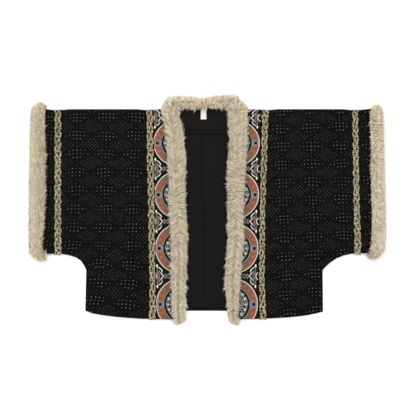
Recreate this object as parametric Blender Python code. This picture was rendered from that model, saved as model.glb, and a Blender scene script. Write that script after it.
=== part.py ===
"""A short open-fronted hanfu jacket with wide sleeves, laid flat on its back, front up.

The shell is two halves of dotted black cloth. Each is cut in one piece, from the back, over the
shoulder fold and down the front, with its sleeve. Plaited braid runs down each front and round each
sleeve, a woven ribbon lies beside each front braid, and fur edges the neck, the fronts and the cuffs.

Sizes here are in millimetres, and the meshes are in metres. +X runs to the right of someone who
looks down on the jacket with its neck at the top, +Y runs towards the neck and +Z is up. The origin
is the middle of the outline, on the surface that the jacket lies on. Left and right are the
looker's own.
"""

import math
from collections import namedtuple

import bmesh
import bpy
from mathutils import Vector

MM = 0.001

# Cloth
WALL = 1.4
THIN_WALL = 1.0
GAP = 0.3
SHOULDER_Y = 249.5
NECK_EDGE_Y = 257.0
BACK_HEM_Y = -254.25
UNDERARM_Y = -152.5
HEM_UNDERSIDE = 1.9
NECK_STEP = 4.0
CENTRE_BACK_NECK_X = -12.25
CENTRE_BACK_HEM_X = -6.25

# Rows of points down each panel, above and below the underarm
FRONT_ROWS_ABOVE = 12
FRONT_ROWS_BELOW = 4
BACK_ROWS_ABOVE = 3
BACK_ROWS_BELOW = 1
FOLD_DEGREES = (-45, 0, 45)

# Lining, facings and label, which lie on the back
LINING_SIDE_IN = 28.0
LINING_HEM_Y = -247.5
LINING_SHOULDER_Y = 243.0
LINING_NECK_Y = 254.0
FACING_LEFT_X = -112.0
FACING_RIGHT_X = 96.0
FACING_LOW_Y = 197.5
BAND_LOW_Y = 187.0
LABEL_MIDDLE_X = -8.6
LABEL_WIDTH = 14.0
LABEL_TOP_Y = 253.0
LABEL_LOW_Y = 224.0

# Braid: three strands plaited flat
BRAID_STRANDS = 3
BRAID_LOBE = 23.6
BRAID_STEP = BRAID_LOBE / 6
BRAID_HIGH = 3.5
BRAID_LOW = 0.6
STRAND_SWING = 0.3
STRAND_HALF_WIDTH = 0.2
STRAND_UNDER_SHARE = 0.45
BRAID_BACK = 1.8
BRAID_SEAM_BULGE = 2.6
BRAID_FOOT_PLAIN = 4.2
BRAID_FOOT_INWARD = 5.2
BRAID_ACROSS = (0.10, 0.26, 0.42, 0.58, 0.74, 0.90)
BRAID_SETBACK = 2.1
BRAID_TURN_UNDER = 3.5
SLEEVE_BRAID_LIFT = BRAID_BACK + GAP

# Fur: a pile that stands up from its strip and parts along the middle
FUR_STEP = 8.7
FUR_HEIGHT = 19.5
NECK_FUR_HEIGHT = 25.0
CUFF_FUR_HEIGHT = 17.0
CUFF_FUR_UNDER = 5.7
CUFF_FUR_BACK_STEP = 36.0
CUFF_LIFT = CUFF_FUR_UNDER + GAP
CUFF_AIR = 0.6
CUFF_SLIT_TOP = CUFF_LIFT + 2 * WALL + CUFF_AIR + GAP
CUFF_END_TURNS = (70, 45, 20, -5, -30, -60)
CUFF_SQUARE_TURN = 60
CUFF_TIP_SPREAD = 1.5
CUFF_RUN_A_DEGREE = 0.25
LOCK_PITCH = 26.0
SLOW_LOCK_PITCH = 42.0
LOCK_LEAN = 0.9
BROAD_LOCK_SHARE = 0.6
LOCK_DEPTH = 0.12
LOCK_WIDTH = 1.5
CUFF_LOCK_WIDTH = 0.75
CUFF_TUFT_TURN = 0.1
FRONT_EDGE_SHARE = 0.5
EDGE_CLEAR_SHARE = 0.04
STEP_SLOPE_SHARE = 0.03
FREE_END_SHARE = 0.55
FREE_END_LENGTH = 18.0
HEM_CLEAR = 2.5
HEM_DROOP = 0.45

# Across a fur strip: the share of its width and of its height
FurPoint = namedtuple("FurPoint", "share height")
FUR_PROFILE = (
    FurPoint(0.00, 0.30),
    FurPoint(0.12, 0.72),
    FurPoint(0.32, 1.00),
    FurPoint(0.50, 0.84),
    FurPoint(0.68, 1.00),
    FurPoint(0.88, 0.72),
    FurPoint(1.00, 0.30),
)
CUFF_PROFILE = (
    FurPoint(0.00, 0.28),
    FurPoint(0.16, 0.80),
    FurPoint(0.42, 1.00),
    FurPoint(0.66, 0.96),
    FurPoint(0.88, 0.66),
    FurPoint(1.00, 0.28),
)
CUFF_BACK_PROFILE = (
    FurPoint(0.00, 0.50),
    FurPoint(0.16, 1.00),
    FurPoint(0.42, 1.00),
    FurPoint(0.66, 1.00),
    FurPoint(0.88, 1.00),
    FurPoint(1.00, 0.50),
)

# The front fur strips' outer and inner edges, from the hem to the mitre at the shoulder
FurRow = namedtuple("FurRow", "outer_x outer_y inner_x inner_y")
LEFT_FRONT_FUR = (
    FurRow(-80.0, -289.0, -62.5, -289.0),
    FurRow(-84.5, -284.0, -55.5, -284.0),
    FurRow(-85.8, -277.0, -54.2, -277.0),
    FurRow(-86.0, -268.0, -53.8, -268.0),
    FurRow(-88.0, -227.5, -53.8, -227.5),
    FurRow(-90.0, -177.5, -52.5, -177.5),
    FurRow(-90.0, -77.5, -50.0, -77.5),
    FurRow(-95.0, -27.5, -52.5, -27.5),
    FurRow(-97.5, 22.5, -53.8, 22.5),
    FurRow(-95.5, 72.5, -56.2, 72.5),
    FurRow(-100.0, 122.5, -56.2, 122.5),
    FurRow(-101.0, 172.5, -62.5, 172.5),
    FurRow(-109.0, 222.5, -70.0, 222.5),
    FurRow(-112.5, 242.5, -72.5, 242.5),
    FurRow(-113.8, 257.5, -70.0, 245.0),
    FurRow(-111.2, 270.0, -67.5, 246.9),
    FurRow(-103.8, 277.5, -65.0, 248.5),
)
NECK_FUR = (
    FurRow(-103.8, 277.5, -65.0, 248.5),
    FurRow(-93.8, 282.5, -61.0, 250.5),
    FurRow(-81.2, 287.5, -53.8, 250.0),
    FurRow(-62.5, 288.5, -42.5, 249.5),
    FurRow(-42.5, 283.8, -27.5, 246.8),
    FurRow(-20.0, 278.8, -15.0, 249.5),
    FurRow(-6.2, 278.8, -6.2, 250.5),
    FurRow(12.5, 284.5, 6.2, 251.0),
    FurRow(32.5, 286.5, 17.5, 250.0),
    FurRow(50.0, 289.0, 31.2, 252.5),
    FurRow(65.0, 284.5, 42.5, 250.0),
    FurRow(78.8, 278.0, 47.5, 247.5),
)
RIGHT_FRONT_FUR = (
    FurRow(75.0, -289.0, 58.8, -289.0),
    FurRow(78.0, -284.0, 53.8, -284.0),
    FurRow(78.6, -277.0, 52.8, -277.0),
    FurRow(78.8, -268.0, 52.5, -268.0),
    FurRow(80.0, -227.5, 50.5, -227.5),
    FurRow(82.5, -177.5, 46.2, -177.5),
    FurRow(93.0, -77.5, 52.0, -77.5),
    FurRow(91.5, -27.5, 50.0, -27.5),
    FurRow(93.8, 22.5, 48.8, 22.5),
    FurRow(96.2, 72.5, 46.2, 72.5),
    FurRow(98.8, 122.5, 48.8, 122.5),
    FurRow(100.0, 172.5, 52.5, 172.5),
    FurRow(102.5, 222.5, 51.2, 222.5),
    FurRow(101.2, 242.5, 50.5, 237.5),
    FurRow(96.2, 255.0, 50.0, 242.5),
    FurRow(88.8, 268.8, 49.0, 245.0),
    FurRow(78.8, 278.0, 47.5, 247.5),
)

# Outlines of each half. A CuffRow gives the fur's edges, a PairRow a braid's, a SeamRow one line.
CuffRow = namedtuple("CuffRow", "y inner outer")
PairRow = namedtuple("PairRow", "y outer inner")
SeamRow = namedtuple("SeamRow", "y x")
EdgeRow = namedtuple("EdgeRow", "x y")
FoldRow = namedtuple("FoldRow", "x1 y1 x2 y2 height width")
CuffTip = namedtuple("CuffTip", "reach inner outer")
Half = namedtuple(
    "Half",
    "name sign cuff_end cuff_fur cuff_top cuff_foot sleeve_braid front_braid side_seam"
    " underarm hem front_fur folds",
)

LEFT = Half(
    name="left",
    sign=-1,
    cuff_end=-433.0,
    cuff_fur=(
        CuffRow(249.0, -405.0, -440.0),
        CuffRow(230.0, -405.0, -443.0),
        CuffRow(160.0, -407.0, -446.0),
        CuffRow(60.0, -408.0, -448.0),
        CuffRow(-20.0, -409.0, -448.5),
        CuffRow(-80.0, -412.0, -448.5),
        CuffRow(-110.0, -411.0, -445.0),
    ),
    cuff_top=CuffTip(17.5, -401.0, -434.0),
    cuff_foot=CuffTip(17.0, -408.0, -438.0),
    sleeve_braid=(PairRow(249.0, -382.5, -362.5), PairRow(-112.0, -382.5, -362.0)),
    front_braid=(
        PairRow(249.5, -152.8, -134.0),
        PairRow(107.5, -151.0, -130.8),
        PairRow(-22.5, -148.0, -129.2),
        PairRow(-180.0, -144.8, -127.2),
        PairRow(-280.0, -146.0, -126.0),
    ),
    side_seam=(
        SeamRow(249.5, -301.8),
        SeamRow(-152.5, -301.8),
        SeamRow(-227.5, -302.5),
        SeamRow(-256.0, -304.3),
    ),
    underarm=(
        EdgeRow(-435.0, -112.0),
        EdgeRow(-362.0, -112.5),
        EdgeRow(-342.5, -116.0),
        EdgeRow(-325.0, -121.5),
        EdgeRow(-311.0, -132.0),
        EdgeRow(-301.8, UNDERARM_Y),
    ),
    hem=(
        EdgeRow(-305.0, -253.8),
        EdgeRow(-288.0, -260.5),
        EdgeRow(-267.5, -264.5),
        EdgeRow(-217.5, -270.8),
        EdgeRow(-175.0, -273.8),
        EdgeRow(-145.0, -275.0),
        EdgeRow(-70.0, -276.2),
    ),
    front_fur=LEFT_FRONT_FUR,
    folds=(
        FoldRow(-292.0, -112.0, -236.0, -18.0, 1.6, 24.0),
        FoldRow(-318.0, 40.0, -262.0, 205.0, 1.3, 26.0),
        FoldRow(-214.0, -232.0, -190.0, -70.0, 1.1, 28.0),
    ),
)

RIGHT = Half(
    name="right",
    sign=1,
    cuff_end=433.0,
    cuff_fur=(
        CuffRow(249.0, 406.0, 440.0),
        CuffRow(230.0, 406.2, 441.5),
        CuffRow(160.0, 408.0, 445.0),
        CuffRow(60.0, 409.0, 447.5),
        CuffRow(-20.0, 411.0, 448.5),
        CuffRow(-80.0, 411.5, 448.0),
        CuffRow(-110.0, 407.0, 442.0),
    ),
    cuff_top=CuffTip(13.0, 404.0, 436.0),
    cuff_foot=CuffTip(17.0, 391.0, 430.0),
    sleeve_braid=(
        PairRow(249.0, 378.8, 361.2),
        PairRow(22.5, 382.5, 363.8),
        PairRow(-77.5, 386.2, 366.2),
        PairRow(-112.0, 386.5, 366.5),
    ),
    front_braid=(
        PairRow(249.5, 155.8, 136.2),
        PairRow(140.0, 151.2, 133.8),
        PairRow(-22.5, 146.2, 130.0),
        PairRow(-175.0, 145.5, 128.0),
        PairRow(-280.0, 149.5, 130.0),
    ),
    side_seam=(
        SeamRow(249.5, 289.0),
        SeamRow(-152.5, 289.0),
        SeamRow(-177.5, 287.5),
        SeamRow(-227.5, 287.0),
        SeamRow(-256.0, 290.0),
    ),
    underarm=(
        EdgeRow(289.0, UNDERARM_Y),
        EdgeRow(302.5, -138.0),
        EdgeRow(320.0, -125.0),
        EdgeRow(340.0, -116.2),
        EdgeRow(364.0, -111.2),
        EdgeRow(435.0, -110.5),
    ),
    hem=(
        EdgeRow(70.0, -276.0),
        EdgeRow(145.0, -274.0),
        EdgeRow(187.5, -272.2),
        EdgeRow(232.5, -268.2),
        EdgeRow(257.5, -264.5),
        EdgeRow(291.0, -256.2),
    ),
    front_fur=RIGHT_FRONT_FUR,
    folds=(
        FoldRow(287.5, 226.0, 356.0, 168.0, 2.6, 15.0),
        FoldRow(282.0, -118.0, 226.0, -30.0, 1.5, 24.0),
        FoldRow(236.0, 40.0, 214.0, 210.0, 1.2, 27.0),
        FoldRow(196.0, -236.0, 176.0, -96.0, 1.1, 26.0),
    ),
)

# Columns of points across a panel, from the cuff to the front edge. Each lies a share of the way
# from one line to another. lift is the back's height over the surface, air the room between back
# and front, setback how far the fold is drawn in, and loose how much the front may ripple.
Column = namedtuple("Column", "start end share lift air setback loose")
COLUMNS = (
    Column("cuff_end", "cuff_end", 0.0, CUFF_LIFT, CUFF_AIR, 0.0, 0.0),
    Column("cuff_fur", "cuff_fur", 0.0, CUFF_LIFT, CUFF_AIR, 0.0, 0.0),
    Column("sleeve_braid_outer", "sleeve_braid_outer", 0.0, SLEEVE_BRAID_LIFT, 1.6, BRAID_SETBACK, 0.0),
    Column("sleeve_braid_inner", "sleeve_braid_inner", 0.0, SLEEVE_BRAID_LIFT, 1.6, BRAID_SETBACK, 0.0),
    Column("sleeve_braid_inner", "side_seam", 0.30, 0.0, 2.4, 0.0, 0.6),
    Column("sleeve_braid_inner", "side_seam", 0.57, 0.0, 2.7, 0.0, 1.0),
    Column("sleeve_braid_inner", "side_seam", 0.78, 0.0, 2.9, 0.0, 1.0),
    Column("sleeve_braid_inner", "side_seam", 0.92, 0.0, 3.0, 0.0, 1.0),
    Column("side_seam", "side_seam", 0.0, 0.0, 3.0, 0.0, 1.0),
    Column("side_seam", "front_braid_outer", 0.12, 0.0, 3.0, 0.0, 1.0),
    Column("side_seam", "front_braid_outer", 0.29, 0.0, 3.0, 0.0, 1.0),
    Column("side_seam", "front_braid_outer", 0.47, 0.0, 3.0, 0.0, 1.0),
    Column("side_seam", "front_braid_outer", 0.65, 0.0, 3.0, 0.0, 1.0),
    Column("side_seam", "front_braid_outer", 0.84, 0.0, 3.0, 0.0, 0.6),
    Column("front_braid_outer", "front_braid_outer", 0.0, 0.0, 3.0, BRAID_SETBACK, 0.0),
    Column("front_braid_inner", "front_braid_inner", 0.0, 0.0, 3.0, BRAID_SETBACK, 0.0),
    Column("front_braid_inner", "front_edge", 0.5, 0.0, 3.0, GAP + THIN_WALL, 0.0),
    Column("front_edge", "front_edge", 0.0, 0.0, 3.0, GAP + THIN_WALL, 0.0),
)
NECK_COLUMN_SHARES = (0.07, 0.5, 1.0)

# How much of the room between front and back is left in the rows and columns beside a seam
SEAM_ROOM = (0.0, 0.72, 0.95)
RIPPLE_HEIGHT = 0.8
RIPPLE_LENGTH_X = 61.0
RIPPLE_LENGTH_Y = 88.0
RIPPLE_WANDER = 0.7
RIPPLE_SLANT = 50.0


def column_on(line):
    """Returns the number of the column that runs down a line."""
    for place, column in enumerate(COLUMNS):
        if column.start == line and column.share == 0.0:
            return place
    return None


SIDE_COLUMN = column_on("side_seam")
SLEEVE_BRAID_COLUMNS = (column_on("sleeve_braid_outer"), column_on("sleeve_braid_inner"))
FRONT_BRAID_COLUMNS = (column_on("front_braid_outer"), column_on("front_braid_inner"))
RIBBON_COLUMNS = tuple(range(column_on("front_braid_inner"), column_on("front_edge") + 1))

Finish = namedtuple("Finish", "name colour roughness metallic")
JACQUARD = Finish("black_jacquard", (0.012, 0.012, 0.012), 0.72, 0.0)
LINING = Finish("black_lining", (0.016, 0.016, 0.015), 0.55, 0.0)
RIBBON = Finish("roundel_ribbon", (0.16, 0.07, 0.05), 0.6, 0.0)
BRAID = Finish("gold_braid", (0.42, 0.38, 0.19), 0.45, 0.25)
FUR = Finish("beige_fur", (0.58, 0.49, 0.34), 0.9, 0.0)
LABEL = Finish("white_label", (0.85, 0.84, 0.8), 0.6, 0.0)


def clear_scene():
    """Removes what the scene holds, so that only the jacket is in it."""
    for thing in list(bpy.data.objects):
        bpy.data.objects.remove(thing, do_unlink=True)


def make_material(finish):
    """Returns the finish's material, made once."""
    material = bpy.data.materials.get(finish.name)
    if material is None:
        material = bpy.data.materials.new(finish.name)
        material.use_nodes = True
        shader = material.node_tree.nodes["Principled BSDF"]
        shader.inputs["Base Color"].default_value = (*finish.colour, 1.0)
        shader.inputs["Roughness"].default_value = finish.roughness
        shader.inputs["Metallic"].default_value = finish.metallic
    return material


def add_solid(name, points, faces, finish):
    """Adds one closed solid from points in millimetres, with its faces turned outwards."""
    mesh = bpy.data.meshes.new(name)
    shape = bmesh.new()
    corners = [shape.verts.new(Vector(point) * MM) for point in points]
    for face in faces:
        shape.faces.new([corners[number] for number in face])
    bmesh.ops.recalc_face_normals(shape, faces=shape.faces)
    bmesh.ops.triangulate(shape, faces=shape.faces)
    shape.to_mesh(mesh)
    shape.free()
    mesh.shade_smooth()
    mesh.set_sharp_from_angle(angle=math.radians(40))
    mesh.materials.append(make_material(finish))
    solid = bpy.data.objects.new(name, mesh)
    bpy.context.scene.collection.objects.link(solid)
    return solid


def closed_wall(name, outer, inner, quads, finish):
    """Closes a wall between outer and inner points that share their keys and their quads."""
    keys = list(outer)
    count = len(keys)
    number = {key: place for place, key in enumerate(keys)}
    points = [outer[key] for key in keys] + [inner[key] for key in keys]
    faces = []
    edges = set()
    for quad in quads:
        corners = [number[key] for key in quad]
        faces.append(corners)
        faces.append([corner + count for corner in reversed(corners)])
        edges.update(zip(corners, corners[1:] + corners[:1]))
    for here, there in sorted(edges):
        if (there, here) not in edges:
            faces.append([there, here, here + count, there + count])
    return add_solid(name, points, faces, finish)


def joined_sections(name, sections, finish, ring=False):
    """Joins sections of equal count into a bar with flat ends, or into a ring."""
    size = len(sections[0])
    points = [point for section in sections for point in section]
    spans = len(sections) if ring else len(sections) - 1
    faces = []
    for span in range(spans):
        here = span * size
        there = ((span + 1) % len(sections)) * size
        for side in range(size):
            after = (side + 1) % size
            faces.append([here + side, here + after, there + after, there + side])
    if not ring:
        last = (len(sections) - 1) * size
        faces.append(list(range(size - 1, -1, -1)))
        faces.append([last + side for side in range(size)])
    return add_solid(name, points, faces, finish)


def flat_wall(name, outline, low, finish, thickness=THIN_WALL):
    """Makes a flat piece from its outline and the height of its underside."""
    low_ring = [(x, y, low) for x, y in outline]
    high_ring = [(x, y, low + thickness) for x, y in outline]
    return joined_sections(name, [low_ring, high_ring], finish)


def read(table, key, value, place):
    """Reads one column of a table where another column has a given value, straight between rows."""
    rows = sorted(table, key=lambda row: getattr(row, key))
    if place <= getattr(rows[0], key):
        return getattr(rows[0], value)
    for first, second in zip(rows, rows[1:]):
        start = getattr(first, key)
        end = getattr(second, key)
        if place <= end:
            part = (place - start) / (end - start)
            return getattr(first, value) * (1 - part) + getattr(second, value) * part
    return getattr(rows[-1], value)


def mix(first, second, part):
    """Returns the value a part of the way from first to second."""
    return first + (second - first) * part


def front_edge_x(half, y):
    """Returns where the front's cut edge lies: under the middle of its fur strip."""
    outer = read(half.front_fur, "outer_y", "outer_x", y)
    inner = read(half.front_fur, "inner_y", "inner_x", y)
    return mix(outer, inner, FRONT_EDGE_SHARE)


def line_x(half, line, y):
    """Returns the place across the jacket of one of the half's lines at a height y."""
    if line == "cuff_end":
        return half.cuff_end
    if line == "cuff_fur":
        return read(half.cuff_fur, "y", "inner", y)
    if line == "sleeve_braid_outer":
        return read(half.sleeve_braid, "y", "outer", y)
    if line == "sleeve_braid_inner":
        return read(half.sleeve_braid, "y", "inner", y)
    if line == "side_seam":
        return read(half.side_seam, "y", "x", y)
    if line == "front_braid_outer":
        return read(half.front_braid, "y", "outer", y)
    if line == "front_braid_inner":
        return read(half.front_braid, "y", "inner", y)
    return front_edge_x(half, y)


def column_x(half, column, y):
    """Returns a column's place across the jacket at a height y."""
    start = line_x(half, column.start, y)
    end = line_x(half, column.end, y)
    return mix(start, end, column.share)


def centre_back_x(y):
    """Returns the centre-back seam's place at a height y."""
    part = (NECK_EDGE_Y - y) / (NECK_EDGE_Y - BACK_HEM_Y)
    return mix(CENTRE_BACK_NECK_X, CENTRE_BACK_HEM_X, part)


def ripple(half, x, y):
    """Returns how far the loose cloth rises or sinks at a place."""
    swing = math.sin(x / RIPPLE_LENGTH_X + RIPPLE_WANDER * math.sin(y / RIPPLE_LENGTH_Y))
    rise = RIPPLE_HEIGHT * swing * math.cos(y / RIPPLE_LENGTH_Y + x / RIPPLE_SLANT)
    for fold in half.folds:
        along = Vector((fold.x2 - fold.x1, fold.y2 - fold.y1))
        away = Vector((x - fold.x1, y - fold.y1))
        part = min(max(away.dot(along) / along.length_squared, 0.0), 1.0)
        distance = (away - along * part).length
        rise += fold.height * math.exp(-((distance / fold.width) ** 2))
    return rise


def seam_room(steps):
    """Returns the share of the room between front and back that is left some steps from a seam."""
    if steps < len(SEAM_ROOM):
        return SEAM_ROOM[steps]
    return 1.0


def fold_radius(column):
    """Returns the outer radius of the shoulder fold in a column."""
    return WALL + column.air / 2


def panel_top_y(column):
    """Returns the height y at which the panel runs into its shoulder fold."""
    return SHOULDER_Y - column.setback - fold_radius(column)


class Shell:
    """One half of the shell as points: outer, inner and outward direction, by column and station."""

    def __init__(self, half):
        """Works out the points of the back, the fold and the front."""
        self.half = half
        self.outer = {}
        self.inner = {}
        self.out = {}
        back_rows = BACK_ROWS_ABOVE + BACK_ROWS_BELOW
        front_rows = FRONT_ROWS_ABOVE + FRONT_ROWS_BELOW
        self.back_stations = [("back", row) for row in range(back_rows, -1, -1)]
        self.fold_stations = [("fold", degrees) for degrees in FOLD_DEGREES]
        self.front_stations = [("front", row) for row in range(front_rows + 1)]
        self.stations = self.back_stations + self.fold_stations + self.front_stations
        for place, column in enumerate(COLUMNS):
            self.add_back(place, column)
            self.add_fold(place, column)
            self.add_front(place, column)
        for extra, share in enumerate(NECK_COLUMN_SHARES):
            self.add_neck_column(len(COLUMNS) + extra, share)

    def set_point(self, place, station, x, y, outer_z, inner_z, out):
        """Stores one station's outer and inner point, one over the other."""
        self.outer[place, station] = Vector((x, y, outer_z))
        self.inner[place, station] = Vector((x, y, inner_z))
        self.out[place, station] = Vector(out)

    def row_y(self, place, column, row, rows_above, rows_below, top_y, hem_y):
        """Returns a row's height y, or None where a sleeve column has no such row."""
        low_x = column_x(self.half, column, UNDERARM_Y)
        low_y = UNDERARM_Y
        if place < SIDE_COLUMN:
            low_y = read(self.half.underarm, "x", "y", low_x)
        if row <= rows_above:
            return mix(top_y, low_y, row / rows_above)
        if place < SIDE_COLUMN:
            return None
        return mix(low_y, hem_y, (row - rows_above) / rows_below)

    def add_back(self, place, column):
        """Adds the back's points in one column, flat on the surface but under the trims."""
        top_y = panel_top_y(column)
        for station in self.back_stations:
            y = self.row_y(place, column, station[1], BACK_ROWS_ABOVE, BACK_ROWS_BELOW, top_y, BACK_HEM_Y)
            if y is not None:
                x = column_x(self.half, column, y)
                self.set_point(place, station, x, y, column.lift, column.lift + WALL, (0, 0, -1))

    def add_neck_column(self, place, share):
        """Adds a column of the back between the front edge and the centre back."""
        rows = BACK_ROWS_ABOVE + BACK_ROWS_BELOW
        for station in self.back_stations:
            row = station[1]
            if row <= BACK_ROWS_ABOVE:
                y = mix(NECK_EDGE_Y, UNDERARM_Y, row / BACK_ROWS_ABOVE)
            else:
                y = mix(UNDERARM_Y, BACK_HEM_Y, (row - BACK_ROWS_ABOVE) / (rows - BACK_ROWS_ABOVE))
            middle = centre_back_x(y) + self.half.sign * GAP / 2
            x = mix(front_edge_x(self.half, y), middle, share)
            self.set_point(place, station, x, y, 0.0, WALL, (0, 0, -1))

    def add_fold(self, place, column):
        """Adds the round of the shoulder fold in one column."""
        radius = fold_radius(column)
        middle_y = panel_top_y(column)
        middle_z = column.lift + radius
        x = column_x(self.half, column, middle_y)
        for station in self.fold_stations:
            turn = math.radians(station[1])
            out = Vector((0, math.cos(turn), math.sin(turn)))
            middle = Vector((x, middle_y, middle_z))
            self.outer[place, station] = middle + out * radius
            self.inner[place, station] = middle + out * (radius - WALL)
            self.out[place, station] = out

    def add_front(self, place, column):
        """Adds the front's points in one column, pressed down at the seams and at the hem."""
        hem_x = column_x(self.half, column, BACK_HEM_Y)
        hem_y = read(self.half.hem, "x", "y", hem_x)
        top_y = panel_top_y(column)
        last_row = FRONT_ROWS_ABOVE + FRONT_ROWS_BELOW
        for station in self.front_stations:
            row = station[1]
            y = self.row_y(place, column, row, FRONT_ROWS_ABOVE, FRONT_ROWS_BELOW, top_y, hem_y)
            if y is None:
                continue
            x = column_x(self.half, column, y)
            room = 1.0
            if place < SIDE_COLUMN:
                room = seam_room(FRONT_ROWS_ABOVE - row)
            elif row >= FRONT_ROWS_ABOVE:
                room = seam_room(place - SIDE_COLUMN)
            air = column.air
            if row > 0:
                air += column.loose * ripple(self.half, x, y)
            low = column.lift + WALL + mix(GAP, air, room)
            if row == last_row:
                low = min(low, HEM_UNDERSIDE)
            self.set_point(place, station, x, y, low + WALL, low, (0, 0, 1))

    def quads(self):
        """Returns the keys of every quad whose four points are there."""
        found = []
        columns = len(COLUMNS) + len(NECK_COLUMN_SHARES)
        for place in range(columns - 1):
            for here, there in zip(self.stations, self.stations[1:]):
                quad = ((place, here), (place + 1, here), (place + 1, there), (place, there))
                if all(key in self.outer for key in quad):
                    found.append(quad)
        return found

    def edge_path(self, place, stations):
        """Returns one column's outer points and outward directions, in order, without empty rows."""
        keys = [(place, station) for station in stations if (place, station) in self.outer]
        return [(self.outer[key], self.out[key]) for key in keys]

    def face_stations(self):
        """Returns the stations that show from above, from the ridge of the fold to the hem."""
        return [("fold", 0), ("fold", 45)] + self.front_stations


def make_ribbon(shell):
    """Lays the ribbon on the front, from the points that it covers."""
    outer = {}
    inner = {}
    stations = shell.face_stations()
    shift = Vector((-shell.half.sign * GAP, 0, 0))
    for place in RIBBON_COLUMNS:
        for station in stations:
            base = shell.outer[place, station]
            out = shell.out[place, station]
            if place == RIBBON_COLUMNS[0]:
                base = base + shift
            inner[place, station] = base + out * GAP
            outer[place, station] = base + out * (GAP + THIN_WALL)
    quads = []
    for place in RIBBON_COLUMNS[:-1]:
        for here, there in zip(stations, stations[1:]):
            quads.append(((place, here), (place + 1, here), (place + 1, there), (place, there)))
    closed_wall("ribbon_" + shell.half.name, outer, inner, quads, RIBBON)


def strand_turns(run):
    """Returns how far each of the plaited strands has turned at a length run."""
    lobes = run / (BRAID_LOBE * BRAID_STRANDS)
    return [2 * math.pi * (lobes + strand / BRAID_STRANDS) for strand in range(BRAID_STRANDS)]


def plait_height(run, across):
    """Returns the height of the plaited strands at a length run and a share across."""
    best = 0.0
    for turn in strand_turns(run):
        middle = 0.5 + STRAND_SWING * math.sin(turn)
        over = 0.5 + 0.5 * math.sin(2 * turn)
        away = abs(across - middle) / STRAND_HALF_WIDTH
        if away < 1.0:
            best = max(best, mix(STRAND_UNDER_SHARE, 1.0, over) * math.sqrt(1.0 - away * away))
    return mix(BRAID_LOW, BRAID_HIGH, best)


def plait_edges(run):
    """Returns the shares across at which the plait's two scalloped edges lie."""
    middles = [0.5 + STRAND_SWING * math.sin(turn) for turn in strand_turns(run)]
    return min(middles) - STRAND_HALF_WIDTH, max(middles) + STRAND_HALF_WIDTH


def braid_section(left, right, out, heights):
    """Returns a braid's section on two edge points: a plain underside and a raised top."""
    section = [left + out * GAP]
    for share, height in zip(BRAID_ACROSS, heights):
        section.append(left.lerp(right, share) + out * (GAP + height))
    section.append(right + out * GAP)
    return section


def path_lengths(path):
    """Returns the length run at each point of a path of points and directions."""
    runs = [0.0]
    for first, second in zip(path, path[1:]):
        runs.append(runs[-1] + (second[0] - first[0]).length)
    return runs


def path_at(path, runs, share):
    """Returns the point and direction at a share of a path's length."""
    wanted = share * runs[-1]
    for place in range(len(path) - 1):
        if wanted <= runs[place + 1] or place == len(path) - 2:
            part = (wanted - runs[place]) / (runs[place + 1] - runs[place])
            point = path[place][0].lerp(path[place + 1][0], part)
            out = path[place][1].lerp(path[place + 1][1], min(max(part, 0.0), 1.0))
            return point, out.normalized()
    return path[-1]


def braid_run(left_path, right_path, start, stop):
    """Returns plaited sections between two shares of a path, with a plain turn before them."""
    turn = len(FOLD_DEGREES) - 1
    sections = []
    for (left, out), (right, _) in list(zip(left_path, right_path))[:turn]:
        sections.append(plain_section(left, right, out, BRAID_BACK))
    left_path = left_path[turn:]
    right_path = right_path[turn:]
    left_runs = path_lengths(left_path)
    right_runs = path_lengths(right_path)
    length = left_runs[-1] * (stop - start)
    steps = round(length / BRAID_STEP)
    for step in range(steps + 1):
        share = mix(start, stop, step / steps)
        left, out = path_at(left_path, left_runs, share)
        right = path_at(right_path, right_runs, share)[0]
        run = share * left_runs[-1]
        first, last = plait_edges(run)
        heights = [plait_height(run, mix(first, last, across)) for across in BRAID_ACROSS]
        edges = (left.lerp(right, first), left.lerp(right, last))
        sections.append(braid_section(*edges, out, heights))
    return sections


def plain_section(left, right, out, height):
    """Returns a braid's section of one height."""
    return braid_section(left, right, out, [height] * len(BRAID_ACROSS))


def make_front_braid(shell):
    """Lays the front braid on its panel, from the fold's ridge to just past the hem."""
    stations = shell.face_stations()
    left_path = shell.edge_path(FRONT_BRAID_COLUMNS[0], stations)
    right_path = shell.edge_path(FRONT_BRAID_COLUMNS[1], stations)
    past_hem = 1.0 + BRAID_TURN_UNDER / path_lengths(left_path)[-1]
    sections = braid_run(left_path, right_path, 0.0, past_hem)
    joined_sections("front_braid_" + shell.half.name, sections, BRAID)


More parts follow.
